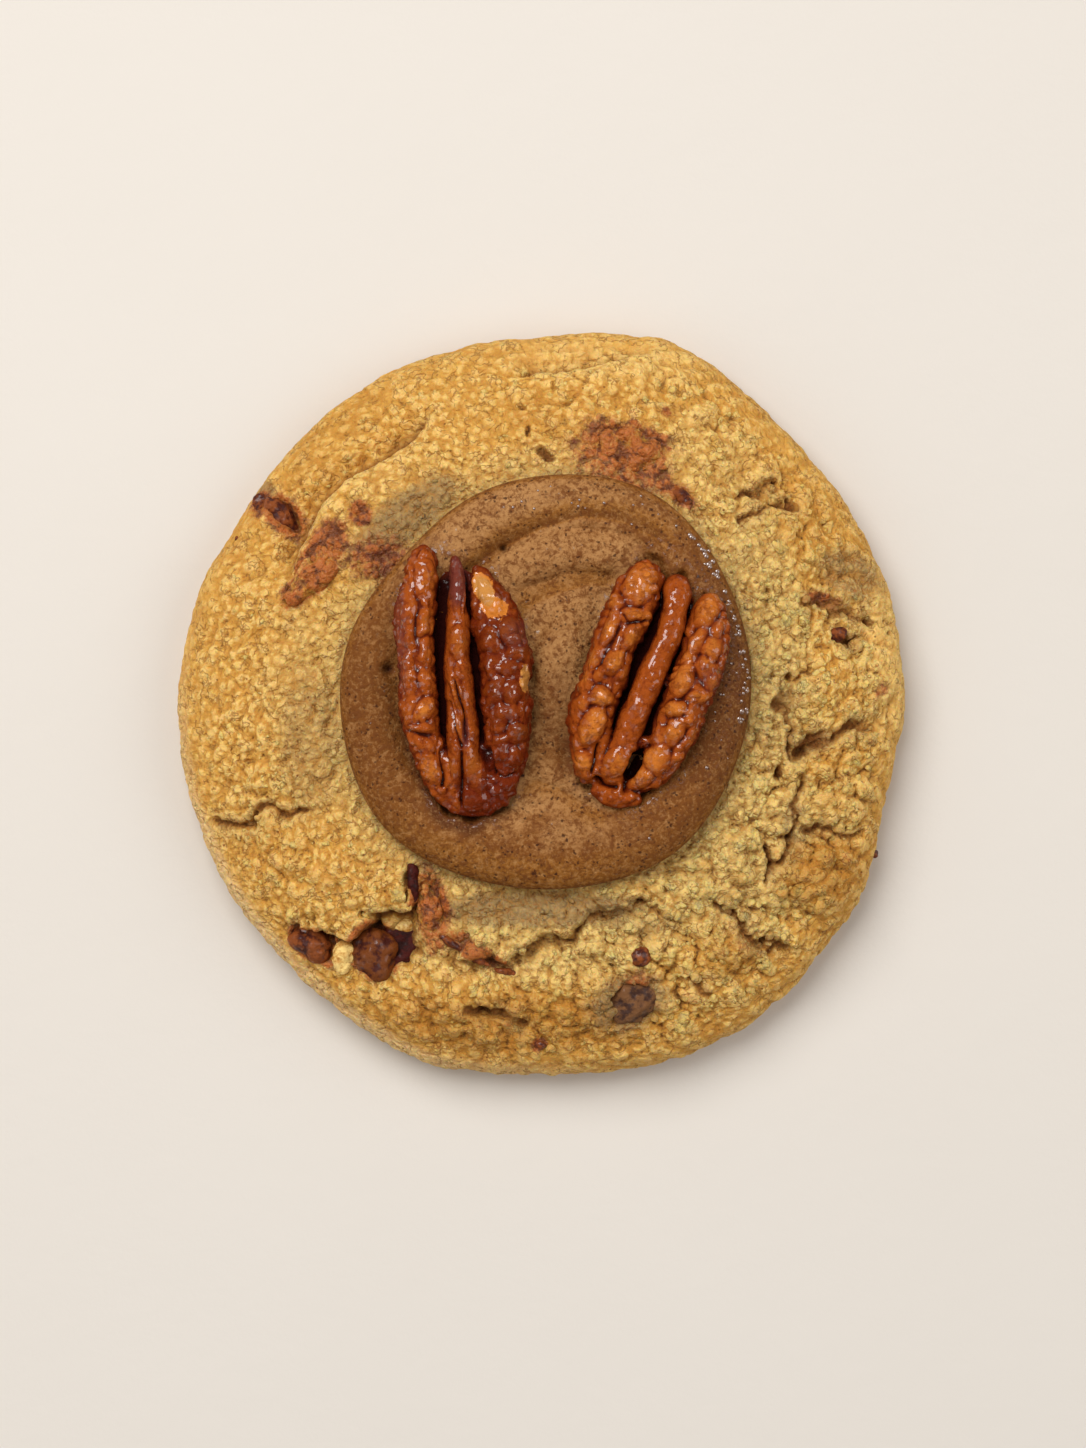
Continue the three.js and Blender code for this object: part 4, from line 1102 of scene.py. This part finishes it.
def egg(name, centre, half, turn, low, top):
    piece = ball(name, **EGG_STEPS)
    unit = points_of(piece) * (*half, (top - low) / 2)
    a = math.radians(turn)
    x = unit[:, 0] * math.cos(a) - unit[:, 1] * math.sin(a) + centre[0]
    y = unit[:, 0] * math.sin(a) + unit[:, 1] * math.cos(a) + centre[1]
    move_points(piece, np.stack([x, y, unit[:, 2] + (top + low) / 2], axis=1))
    return piece


def soften(piece, rounds):
    pick(piece)
    smooth = piece.modifiers.new("soften", "SMOOTH")
    smooth.iterations = rounds
    bpy.ops.object.modifier_apply(modifier=smooth.name)


def fuse(name, pieces):
    """Joins overlapping pieces into one closed skin."""
    bpy.ops.object.select_all(action="DESELECT")
    for piece in pieces:
        piece.select_set(True)
    bpy.context.view_layer.objects.active = pieces[0]
    bpy.ops.object.join()
    whole = bpy.context.object
    whole.name = whole.data.name = name
    bpy.ops.object.mode_set(mode="EDIT")
    bpy.ops.mesh.select_all(action="SELECT")
    bpy.ops.mesh.normals_make_consistent(inside=False)
    bpy.ops.object.mode_set(mode="OBJECT")
    remesh = whole.modifiers.new("skin", "REMESH")
    remesh.mode = "VOXEL"
    remesh.voxel_size = SKIN_VOXEL
    bpy.ops.object.modifier_apply(modifier=remesh.name)
    soften(whole, 3)
    return whole


def nearest_lobe(nut, x, y):
    """The number of the lobe that each point belongs to."""
    gaps = []
    for key in LOBES:
        spine = through(nut[key], np.linspace(0, 1, 30))
        gaps.append(np.min([np.hypot(x - sx, y - sy) / half for sx, sy, half, _ in spine], axis=0))
    return np.argmin(gaps, axis=0)


def crest_depth(nut, x, y, z):
    """How far below the crest of the nearest lobe each point is, and how far outside the nearest lobe."""
    gap = np.full(x.shape, 99.0)
    depth = np.zeros(x.shape)
    for key in LOBES:
        for sx, sy, half, crest in through(nut[key], np.linspace(0, 1, 60)):
            here = np.hypot(x - sx, y - sy) - half
            depth = np.where(here < gap, crest - z, depth)
            gap = np.minimum(gap, here)
    return depth, gap


def bulge_relief(nut, x, y):
    """Rounded bulges side by side, with sharp valleys between them."""
    relief = np.zeros(x.shape)
    for bx, by, long, short, turn, high in nut["bulges"]:
        share = in_ellipse(x, y, (bx, by), (1.12 * long, 1.12 * short), turn)
        relief = np.maximum(relief, high * np.maximum(0, 1 - share**2) ** 0.7)
    return relief


# Thin webs between two lobes of the right nut, as a lobe's stations.
WEBS = [
    [(13.4, 3.6, 0.6, 21), (15.4, 3.0, 0.7, 20.8), (17, 2.6, 0.6, 21)],
    [(10.8, -4.2, 0.6, 21), (12.6, -4.8, 0.7, 20.6), (14.4, -5.2, 0.6, 21)],
]
# Where the left nut is scraped to its flesh, the palest of it, and where the skins are purplish.
SCRAPED = [
    ((-7.2, 14.2), (2.6, 1.3), -70, 1), ((-5.8, 11.8), (1.9, 1.4), -35, 1), ((-2.0, 3.0), (0.7, 2.0), 0, 0.8),
]
SCRAPED_LIGHT = [((-7.0, 13.8), (2.2, 1.2), -66, 1), ((-2.0, 3.0), (0.7, 2.0), 0, 0.9)]
PURPLES = [
    ((-10.3, 15), (1.3, 3.6), 0, 1), ((-17.2, 8), (0.9, 9), 2, 0.6), ((-2.8, 8.4), (2.2, 2.2), 0, 0.6),
    ((-8.8, 14), (0.6, 2.6), 0, 0.5), ((-9.3, -3.8), (0.5, 2.2), 0, 0.9), ((20.8, 3), (1.6, 2), 0, 0.5),
]


def make_pecan(name, webs, red, red_heel, salt):
    """A pecan half: lobes fused to one skin, with bulges, creases and fine wrinkles.

    Red is how red-brown the left lobe, the ridge and the right lobe are, and red_heel what the heel adds.
    """
    nut = PECANS[name]
    parts = [lobe(f"{name}_{key}", nut[key], nut["blunt"], salt + i) for i, key in enumerate(LOBES)]
    for key in ("heel", "belly"):
        centre, half, turn, top = nut[key]
        parts.append(egg(f"{name}_{key}", centre, half, turn, PECAN_BED, top))
    parts += [lobe(f"{name}_web_{i}", stations, 8, salt + 9 + i) for i, stations in enumerate(webs)]
    pecan = fuse(name + "_glazed", parts)
    points, normals = points_of(pecan), normals_of(pecan)
    warp = np.stack([soft_noise(points, 1.7, salt + 31 + 5 * k) for k in range(3)], axis=1)
    nearest = nearest_lobe(nut, points[:, 0], points[:, 1])
    x, y = points[:, 0] + 0.3 * warp[:, 0], points[:, 1] + 0.3 * warp[:, 1]
    bulge = bulge_relief(nut, x, y)
    wrinkle = np.abs(soft_noise(points + 0.4 * warp, 1.1, salt + 57))
    relief = blend(0.2, bulge - 0.3, np.clip(normals[:, 2], 0, 1))
    relief += 0.45 * (wrinkle - 0.3) * np.where(nearest == LOBES.index("ridge"), 0.4, 1)
    for path, half, deep in nut["creases"]:
        distance, _, along = by_path(path, points[:, 0] + 0.12 * warp[:, 0], points[:, 1] + 0.12 * warp[:, 1])
        relief -= deep * hill(distance, half) * fade_ends(along, 0.15)
    relief *= rise(points[:, 2], PECAN_BED - 0.2, PECAN_BED + 2)
    move_points(pecan, points + normals * relief[:, None])
    soften(pecan, 2)

    x, y, z = points_of(pecan).T
    depth, gap = crest_depth(nut, x, y, z)
    between = rise(in_ellipse(x, y, nut["belly"][0], nut["belly"][1], nut["belly"][2]), 1.05, 0.8)
    # painted shade in the grooves and down the slopes, painted highlight on the upturned crests, hollows for
    # painted shade
    paint(pecan, "groove", np.maximum(rise(depth, 1.4, 3.0) * between, 0.6 * rise(depth, 2.6, 3.8)))
    paint(pecan, "slope_shade", rise(depth, 0.3, 2.2))
    paint(pecan, "crest", bulge * (normals[:, 2] > 0.3))
    paint(pecan, "hollow", hollows(pecan, 14))
    paint(pecan, "scraped", patches(SCRAPED, x, y) * rise(z, 18.5, 20))
    paint(pecan, "scraped_light", patches(SCRAPED_LIGHT, x, y))
    paint(pecan, "purple", patches(PURPLES, x, y))
    paint(pecan, "red", np.array(red)[nearest] + red_heel * hill(y + 14, 5))
    return pecan


def nut_gap(x, y):
    """How far outside the nearest pecan half a point is, seen from above."""
    return np.minimum(*(crest_depth(nut, x, y, 0)[1] for nut in PECANS.values()))


# ---------------------------------------------------------------- the icing


def soft_max(first, second, k):
    """The greater of two heights, with the crease between them filled by a fillet of about k."""
    share = np.clip(0.5 + 0.5 * (first - second) / k, 0, 1)
    return blend(second, first, share) + k * share * (1 - share) * 0.5


def roll(distance, half, top, foot):
    """The height of a rounded roll that stands on foot and reaches top, at distances from its middle line."""
    return foot + (top - foot) * np.sqrt(np.maximum(0, 1 - (distance / half) ** 2))


ICING_STEPS = {"segments": 480, "rings": 192}
# How far down the ball, from its pole, the points are that make the crest of the icing's ring and its foot.
TO_CREST, TO_UNDERSIDE = 0.62, 0.88
FOOT = 0.7  # how far the foot draws in under the edge
BUBBLES = [((-18.9, 4.2), 0.7), ((-4.7, 19.1), 0.4)]  # small pits in the icing: place, half width
# Painted shade on the icing between the nuts and right of the right nut: place, half sizes, turn, strength.
SHADES_BY_NUTS = [((1.6, -0.6), (3.4, 5.6), 0, 0.5), ((20.8, -3), (2.4, 6.5), -20, 0.6)]
# Creases where one turn of the icing meets the next, the outer turn on the path's left: path, depth, shade.
TURNS = [
    ([(-10, 14.5), (-7.6, 16.8), (-4.5, 19.5), (0, 21.8), (5, 23.2), (10, 22.6), (14, 20.6), (17, 17.6)],
     0.5, 0.95),
    ([(-4.4, 9), (-1.2, 12.2), (2, 13.8), (6, 14.9), (10, 14.4)], 0.45, 0.75),
    ([(9.4, -14.6), (5, -12.4), (2, -10.6), (-0.8, -9.6), (-3.4, -11.6)], 0.4, 0.6),
]


def icing_section(way, half, outline):
    """How far inside the outline points lie, their height where they are on the rounded rim, and which are.

    The way is 0 at the ball's upper pole and 1 at its lower one.
    """
    edge, top = ICING["edge"], ICING["rim"]
    inward = 1 - np.clip(way / TO_CREST, 0, 1)
    inside = half + (outline - half) * inward
    lean = math.pi / 2 - np.clip((way - TO_CREST) / (TO_UNDERSIDE - TO_CREST), 0, 1) * math.pi
    on_rim = way > TO_CREST
    rim_inside = np.where(lean > 0, half, FOOT) * (1 - np.cos(lean))
    rim_height = np.where(lean > 0, edge + (top - edge) * np.sin(lean), edge * (1 + np.sin(lean)))
    below = np.clip((way - TO_UNDERSIDE) / (1 - TO_UNDERSIDE), 0, 1)
    return np.where(on_rim, rim_inside + below * (outline - FOOT), inside), rim_height, on_rim


def icing_top(x, y, inside, half, gap):
    """The height of the ring, the dish and the turns in it, and the painted shade in the creases and the
    pits.
    """
    flat = np.stack([x, y, np.zeros(len(x))], axis=1)
    dish = ICING["dish"]
    broad = 1.25 * half
    ring = roll(np.minimum(np.abs(inside - half), broad), broad, ICING["rim"], dish * 0.6)
    height = soft_max(ring, dish + 0.1 * soft_noise(flat, 5, 3), 0.9)
    for key in ("coil", "dab"):
        turn = ICING[key]
        distance, _, along = by_path(turn["path"], x, y)
        crown = dish + turn["high"] * fade_ends(along, 0.3)
        height = soft_max(height, roll(distance, turn["half"], crown, dish * 0.7), 0.7)
    height = height + 0.15 * hill(gap, 0.5)
    amber_shade = np.zeros(len(x))
    # painted shade beside each crease between turns
    for path, deep, shade in TURNS:
        distance, side, along = by_path(path, x, y)
        height = height - deep * hill(distance, np.where(side < 0, 1.3, 0.5)) * fade_ends(along, 0.15)
        shaded = hill(distance, np.where(side < 0, 2.6, 0.35)) * fade_ends(along, 0.12)
        amber_shade = np.maximum(amber_shade, shade * shaded)
    pit_shade = np.zeros(len(x))
    # pits, with painted shade in them
    for (bx, by), size in BUBBLES:
        from_pit = np.hypot(x - bx, y - by)
        height = height - 1.2 * hill(from_pit, size)
        pit_shade = np.maximum(pit_shade, hill(from_pit, 0.8 * size))
    return height, amber_shade, pit_shade


def paint_icing(icing, x, y, bearing, inside, half, gap, amber_shade, foot):
    """Keeps on the icing how creamy and syrupy it is, with painted light and painted shade, and how wet it
    is.
    """
    inner = rise(inside, 2 * half - 0.5, 2 * half + 1.5)
    top_ring = hill(apart(bearing, 100), 48)
    right_ring = hill(apart(bearing, 5), 45)
    lower = rise(y, -10, -15) * inner
    # creamier on the inner turns, less where painted shade lies between the nuts; painted light on the lower
    # fan and the ring's top and bottom; painted shade on the ring's right-hand side
    cream_and_painted_light = inner * (0.85 - 0.8 * hill(np.hypot(x - 4.2, y + 5.5), 4)) + 0.45 * lower
    cream_and_painted_light += (1 - inner) * (1.2 * top_ring - 0.4 * right_ring + 0.1 * hill(apart(bearing, 265), 50) - 0.15)
    cream_and_painted_light += 0.65 * hill(in_ellipse(x, y, (2, -15.5), (12, 3.2), -4), 1)
    paint(icing, "cream_and_painted_light", cream_and_painted_light)
    # darker at the ring's outer lip, partly its colour and partly painted shade, and painted shade along its
    # lower outer band
    amber_shade = np.maximum(amber_shade, 0.9 * hill(np.maximum(inside, 0), 0.8))
    amber_shade = np.maximum(amber_shade, 0.75 * hill(apart(bearing, 262), 48) * rise(inside, 5.5, 3))
    paint(icing, "amber_shade", amber_shade)
    by_left_nut = rise(-x, 2, 8) * rise(6 - y, 0, 8)
    syrup = blend(0.35, 0.95, by_left_nut) * hill(np.maximum(gap, 0), blend(0.4, 1.1, by_left_nut))
    # painted shade: darker between the nuts, on the ring's right and left sides, in the patches by the nuts
    # and at the foot
    syrup = np.maximum(syrup, 0.75 * hill(np.hypot((x - 3.6) / 0.8, y + 5.5), 3.2))
    sides = np.maximum(right_ring, 0.6 * hill(apart(bearing, 185), 35))
    syrup = np.maximum(syrup, 0.62 * sides * (1 - inner))
    syrup = np.maximum(syrup, patches(SHADES_BY_NUTS, x, y))
    paint(icing, "syrup", np.maximum(syrup, 0.5 * foot))
    right = hill(apart(bearing, 20), 60) * rise(inside, 0, 1) * rise(2.2 * half - inside, 0, 3)
    paint(icing, "wet", np.maximum(0.4 * right, 0.9 * hill(np.maximum(gap, 0), 0.8)))


def make_icing():
    icing = ball("icing_swirl", **ICING_STEPS)
    unit = points_of(icing)
    bearing = bearing_of(unit[:, 0], unit[:, 1])
    way = np.arccos(np.clip(unit[:, 2], -1, 1)) / math.pi
    at, spread, out = ICING["broad"]
    half = ICING["ring_half"] + out * hill(apart(bearing, at), spread)
    outline = outline_radius(ICING, bearing)
    inside, rim_height, on_rim = icing_section(way, half, outline)
    reach = outline - inside
    x = ICING["centre"][0] + reach * np.cos(np.radians(bearing))
    y = ICING["centre"][1] + reach * np.sin(np.radians(bearing))
    gap = nut_gap(x, y)
    height, amber_shade, pit_shade = icing_top(x, y, inside, half, gap)
    height = np.where(on_rim, np.maximum(rim_height, 0), height)
    flat = np.stack([x, y, np.zeros(len(x))], axis=1)
    above = np.where(on_rim, rise(rim_height, 0.3, 1.5), 1)
    height = height + above * (0.13 * soft_noise(flat, 3.4, 5) + 0.05 * soft_noise(flat, 1.3, 6))
    z = dome_height(x, y) + ICING["bed"] + height
    pocket = rise(-gap, 0.5, 1.5) * (way < TO_CREST)
    z = blend(z, np.minimum(z, PECAN_BED - ICING["bed"]), pocket)
    move_points(icing, np.stack([x, y, z], axis=1))
    # the last number is the foot under the ring's rim, for painted shade there
    paint_icing(icing, x, y, bearing, inside, half, gap, amber_shade, rise(height, 0.9, 0.1) * on_rim)
    paint(icing, "pit_shade", pit_shade)
    return icing


def make_beads(icing, count, seed):
    """Beads of syrup in a chain along the ring's right-hand side, with a few strays."""
    draw = np.random.default_rng(seed)
    bpy.ops.object.select_all(action="DESELECT")
    bpy.ops.mesh.primitive_ico_sphere_add(subdivisions=2, radius=1)
    beads = bpy.context.object
    beads.name = beads.data.name = "syrup_beads"
    shape = points_of(beads)
    copies(beads, count)
    bed, normals = points_of(icing), normals_of(icing)
    stray = draw.random(count) < 0.3
    bearing = np.where(stray, draw.uniform(-60, 110, count), draw.uniform(-12, 48, count))
    inset = np.where(stray, draw.uniform(0.8, 5, count), 0.9 + 0.25 * draw.normal(size=count))
    reach = outline_radius(ICING, bearing) - inset
    x = ICING["centre"][0] + reach * np.cos(np.radians(bearing))
    y = ICING["centre"][1] + reach * np.sin(np.radians(bearing))
    top = np.flatnonzero(normals[:, 2] > 0.1)
    spots = [top[np.argmin((bed[top, 0] - bx) ** 2 + (bed[top, 1] - by) ** 2)] for bx, by in zip(x, y)]
    sizes = draw.uniform(0.3, 0.75, count) * np.where(stray, 0.7, 1)
    points = bed[spots][:, None] + shape[None] * sizes[:, None, None] * (1, 1, 0.6) / 2
    move_points(beads, points.reshape(-1, 3))
    return beads


# ---------------------------------------------------------------- the lumps


def make_lump(name, centre, half, turn, salt):
    """A nut piece: an egg with deep, soft wrinkles."""
    lump = egg(name, centre[:2], half[:2], turn, centre[2] - half[2], centre[2] + half[2])
    points, normals = points_of(lump), normals_of(lump)
    warp = np.stack([soft_noise(points, 2.0, salt + k) for k in range(3)], axis=1)
    billow = np.abs(soft_noise(points + 0.9 * warp, 2.0, salt + 5))
    small = rough_noise(points, 1.3, salt + 9, 3)
    relief = min(half) * (0.25 * (billow - 0.4) + 0.15 * warp[:, 0]) + 0.24 * small
    move_points(lump, points + normals * relief[:, None])
    # how hollow it is, for painted shade in its hollows
    paint(lump, "hollow", hollows(lump, 6))
    return lump


def make_soaked_lump(name, half, turn, salt):
    """Toffee that has soaked into the crumb: a low mound with the crumb's own grain, stained through."""
    centre = lump_place(name)
    lump = egg(name + "_soaked", centre[:2], half[:2], turn, centre[2] - half[2], centre[2] + half[2])
    points, normals = points_of(lump), normals_of(lump)
    jag = rough_noise(points, 2.6, salt)
    relief = 0.9 * crumb_relief(points, 0.45, 0) + 0.75 * jag
    move_points(lump, points + normals * relief[:, None])
    share = in_ellipse(points[:, 0], points[:, 1], centre[:2], half[:2], turn)
    for layer in PAINTED_ON_DOUGH:
        paint(lump, layer, 0)
    # how hollow it is, for painted highlight on its bumps and painted shade in its hollows
    paint(lump, "hollow", hollows(lump, 8))
    paint(lump, "stain", blend(1, 0.6, share) + 0.2 * jag)
    return lump


# Small nut bits in the crust: place, half sizes, turn.
BITS = [
    ((17.5, 25.8), (1.5, 0.9, 0.6), -38), ((12.3, -31.4), (1.4, 1.2, 0.9), 20),
    ((-0.2, -42.6), (0.9, 0.6, 0.5), 0), ((36.7, 8.5), (1.5, 0.9, 0.8), 25),
    ((41.7, -18.9), (0.6, 0.5, 0.5), 0), ((-38.2, 20.6), (0.4, 0.6, 0.3), 0),
    ((-11.2, -29.8), (1.6, 0.5, 0.5), -35), ((-8.0, -31.9), (1.6, 0.5, 0.5), -25),
    ((-4.6, -33.3), (1.4, 0.5, 0.5), -10), ((-35.2, 25.2), (1.0, 1.2, 0.4), 0),
]
# Dark, glossy syrup in the hollows beside the front nut pieces, near black partly as painted shade of the
# hollows.
SYRUP_POOLS = [((-17.2, -30.6), (3.0, 3.6, 1.1), 0), ((-15.9, -22.2), (0.8, 2.6, 0.8), 5)]
# Pale nut flesh and a pale crumb that show between the front nut pieces.
FLESH = [((-16.9, -27.8), (1.6, 1.0, 0.8), 8), ((-24.8, -31.6), (1.5, 2.1, 1.2), -10)]


def make_bits(dough, name, places, salt):
    """Small bits, each set in the crust where it lies, as one piece."""
    crust = points_of(dough)
    bits = []
    for i, ((x, y), half, turn) in enumerate(places):
        near = np.argsort(np.hypot(crust[:, 0] - x, crust[:, 1] - y) + 50 * (crust[:, 2] < 3))[:40]
        z = crust[near, 2].mean() + 0.1 * half[2]
        bits.append(make_lump(f"bit_{i}", (x, y, z), half, turn, salt + 11 * i))
    bpy.ops.object.select_all(action="DESELECT")
    for bit in bits:
        bit.select_set(True)
    bpy.context.view_layer.objects.active = bits[0]
    bpy.ops.object.join()
    whole = bpy.context.object
    whole.name = whole.data.name = name
    return whole


# ---------------------------------------------------------------- making the cookie

crust_look = dough_finish("baked butter dough")
dough = make_dough()
coarse = make_crumbs(dough, "crumbs_coarse", count=380, small=0.9, large=2.4, seed=5, even=0, power=3)
fine = make_crumbs(dough, "crumbs_fine", count=700, small=0.5, large=1.0, seed=6, even=0.1, power=2)
bits = make_bits(dough, "nut_bits", BITS, salt=200)
flesh = make_bits(dough, "nut_flesh", FLESH, salt=600)
pools = make_bits(dough, "nut_syrup_pools", SYRUP_POOLS, salt=700)

soaked_look = dough_finish("toffee-soaked crumb")
nut_look = nut_finish("baked nut piece", NUT_LIGHT, NUT_DARK, gloss=0.6)
special_looks = {
    "nut_piece_front": nut_finish("dark nut piece", NUT_LIGHT_DEEP, NUT_DARK, gloss=0.7),
    "nut_piece_base_side": nut_finish("greyish nut piece", GREY_NUT_LIGHT, GREY_NUT_DARK, gloss=0.25),
}
for i, (name, (half, turn, _)) in enumerate(LUMPS.items()):
    salt = 100 + 13 * i
    if name in SOAKED:
        settle(make_soaked_lump(name, half, turn, salt), soaked_look, "toffee", name)
    else:
        lump = make_lump(name + "_baked", lump_place(name), half, turn, salt)
        settle(lump, special_looks.get(name, nut_look), "nut_piece", name)

icing = make_icing()
beads = make_beads(icing, count=90, seed=8)
settle(icing, icing_finish(), "icing", "icing_spiral")
settle(beads, bead_finish(), "icing")

pecan_look = pecan_finish()
left = make_pecan("pecan_half_left", webs=[], red=(-0.3, 0.3, 0.7), red_heel=0.75, salt=300)
settle(left, pecan_look, "pecan", "pecan_half_left")
right = make_pecan("pecan_half_right", webs=WEBS, red=(0, -0.4, 0.15), red_heel=0, salt=400)
settle(right, pecan_look, "pecan", "pecan_half_right")

settle(bits, nut_look, "nut_piece")
settle(flesh, nut_finish("pale nut flesh", CREAM, AMBER, gloss=0.3), "nut_piece")
settle(pools, nut_finish("dark nut syrup", NUT_SYRUP, PECAN_DARK, gloss=0.12), "nut_piece")
settle(coarse, crust_look, "dough")
settle(fine, crust_look, "dough")
settle(dough, crust_look, "dough", "cookie_dough")

# ---------------------------------------------------------------- floor, light and camera

FLOOR_SIZE = 3.0
LAMP_AWAY = 0.9
# Name, bearing, height, size and power of each lamp.
LAMPS = [("key", 124, 57, 0.7, 7.0), ("window_side", 195, 40, 0.8, 1.3), ("fill", 5, 42, 0.9, 2.9)]
STUDIO_WHITE, STUDIO_STRENGTH = (1, 0.985, 0.96), 0.27
LENS, SENSOR = 150, 36
# What the photograph takes in from top to bottom, at the height of the cookie's shoulder, and its middle.
VIEW_TALL, SHOULDER = 181 * MM, 8 * MM
VIEW_MIDDLE = (0.19 * MM, -2.56 * MM)


def make_floor():
    bpy.ops.object.select_all(action="DESELECT")
    bpy.ops.mesh.primitive_plane_add(size=FLOOR_SIZE)
    floor = bpy.context.object
    floor.name = floor.data.name = "floor"
    f = Finish("pale plaster")
    look = f.skin(
        Base_Color=f.mix(f.noise(60, 3, 0.6), PLASTER, PLASTER_LIGHT),
        Roughness=0.8,
        Normal=f.bump(f.noise(4, 4, 0.6), 0.08),
        Specular_IOR_Level=0.2,
    )
    floor.data.materials.append(look)


def soft_box(name, bearing, height, size, power):
    """A lamp that looks at the cookie: bearing and height in degrees, size in metres and power in watts."""
    b, h = math.radians(bearing), math.radians(height)
    place = LAMP_AWAY * Vector((math.cos(b) * math.cos(h), math.sin(b) * math.cos(h), math.sin(h)))
    bpy.ops.object.light_add(type="AREA", location=place)
    light = bpy.context.object
    light.name = name
    light.data.shape = "DISK"
    light.data.size = size
    light.data.energy = power
    light.rotation_euler = (-place).to_track_quat("-Z", "Y").to_euler()


def make_world():
    world = bpy.data.worlds.new("studio")
    bpy.context.scene.world = world
    world.use_nodes = True
    background = world.node_tree.nodes["Background"]
    background.inputs["Color"].default_value = (*STUDIO_WHITE, 1)
    background.inputs["Strength"].default_value = STUDIO_STRENGTH


def make_camera():
    """A camera that looks straight down, as the photograph does."""
    away = VIEW_TALL * LENS / SENSOR
    bpy.ops.object.camera_add(location=(*VIEW_MIDDLE, SHOULDER + away), rotation=(0, 0, 0))
    camera = bpy.context.object
    camera.data.lens = LENS
    camera.data.sensor_width = SENSOR
    bpy.context.scene.camera = camera


make_floor()
for lamp in LAMPS:
    soft_box(*lamp)
make_world()
bpy.context.scene.view_settings.view_transform = "Standard"
make_camera()
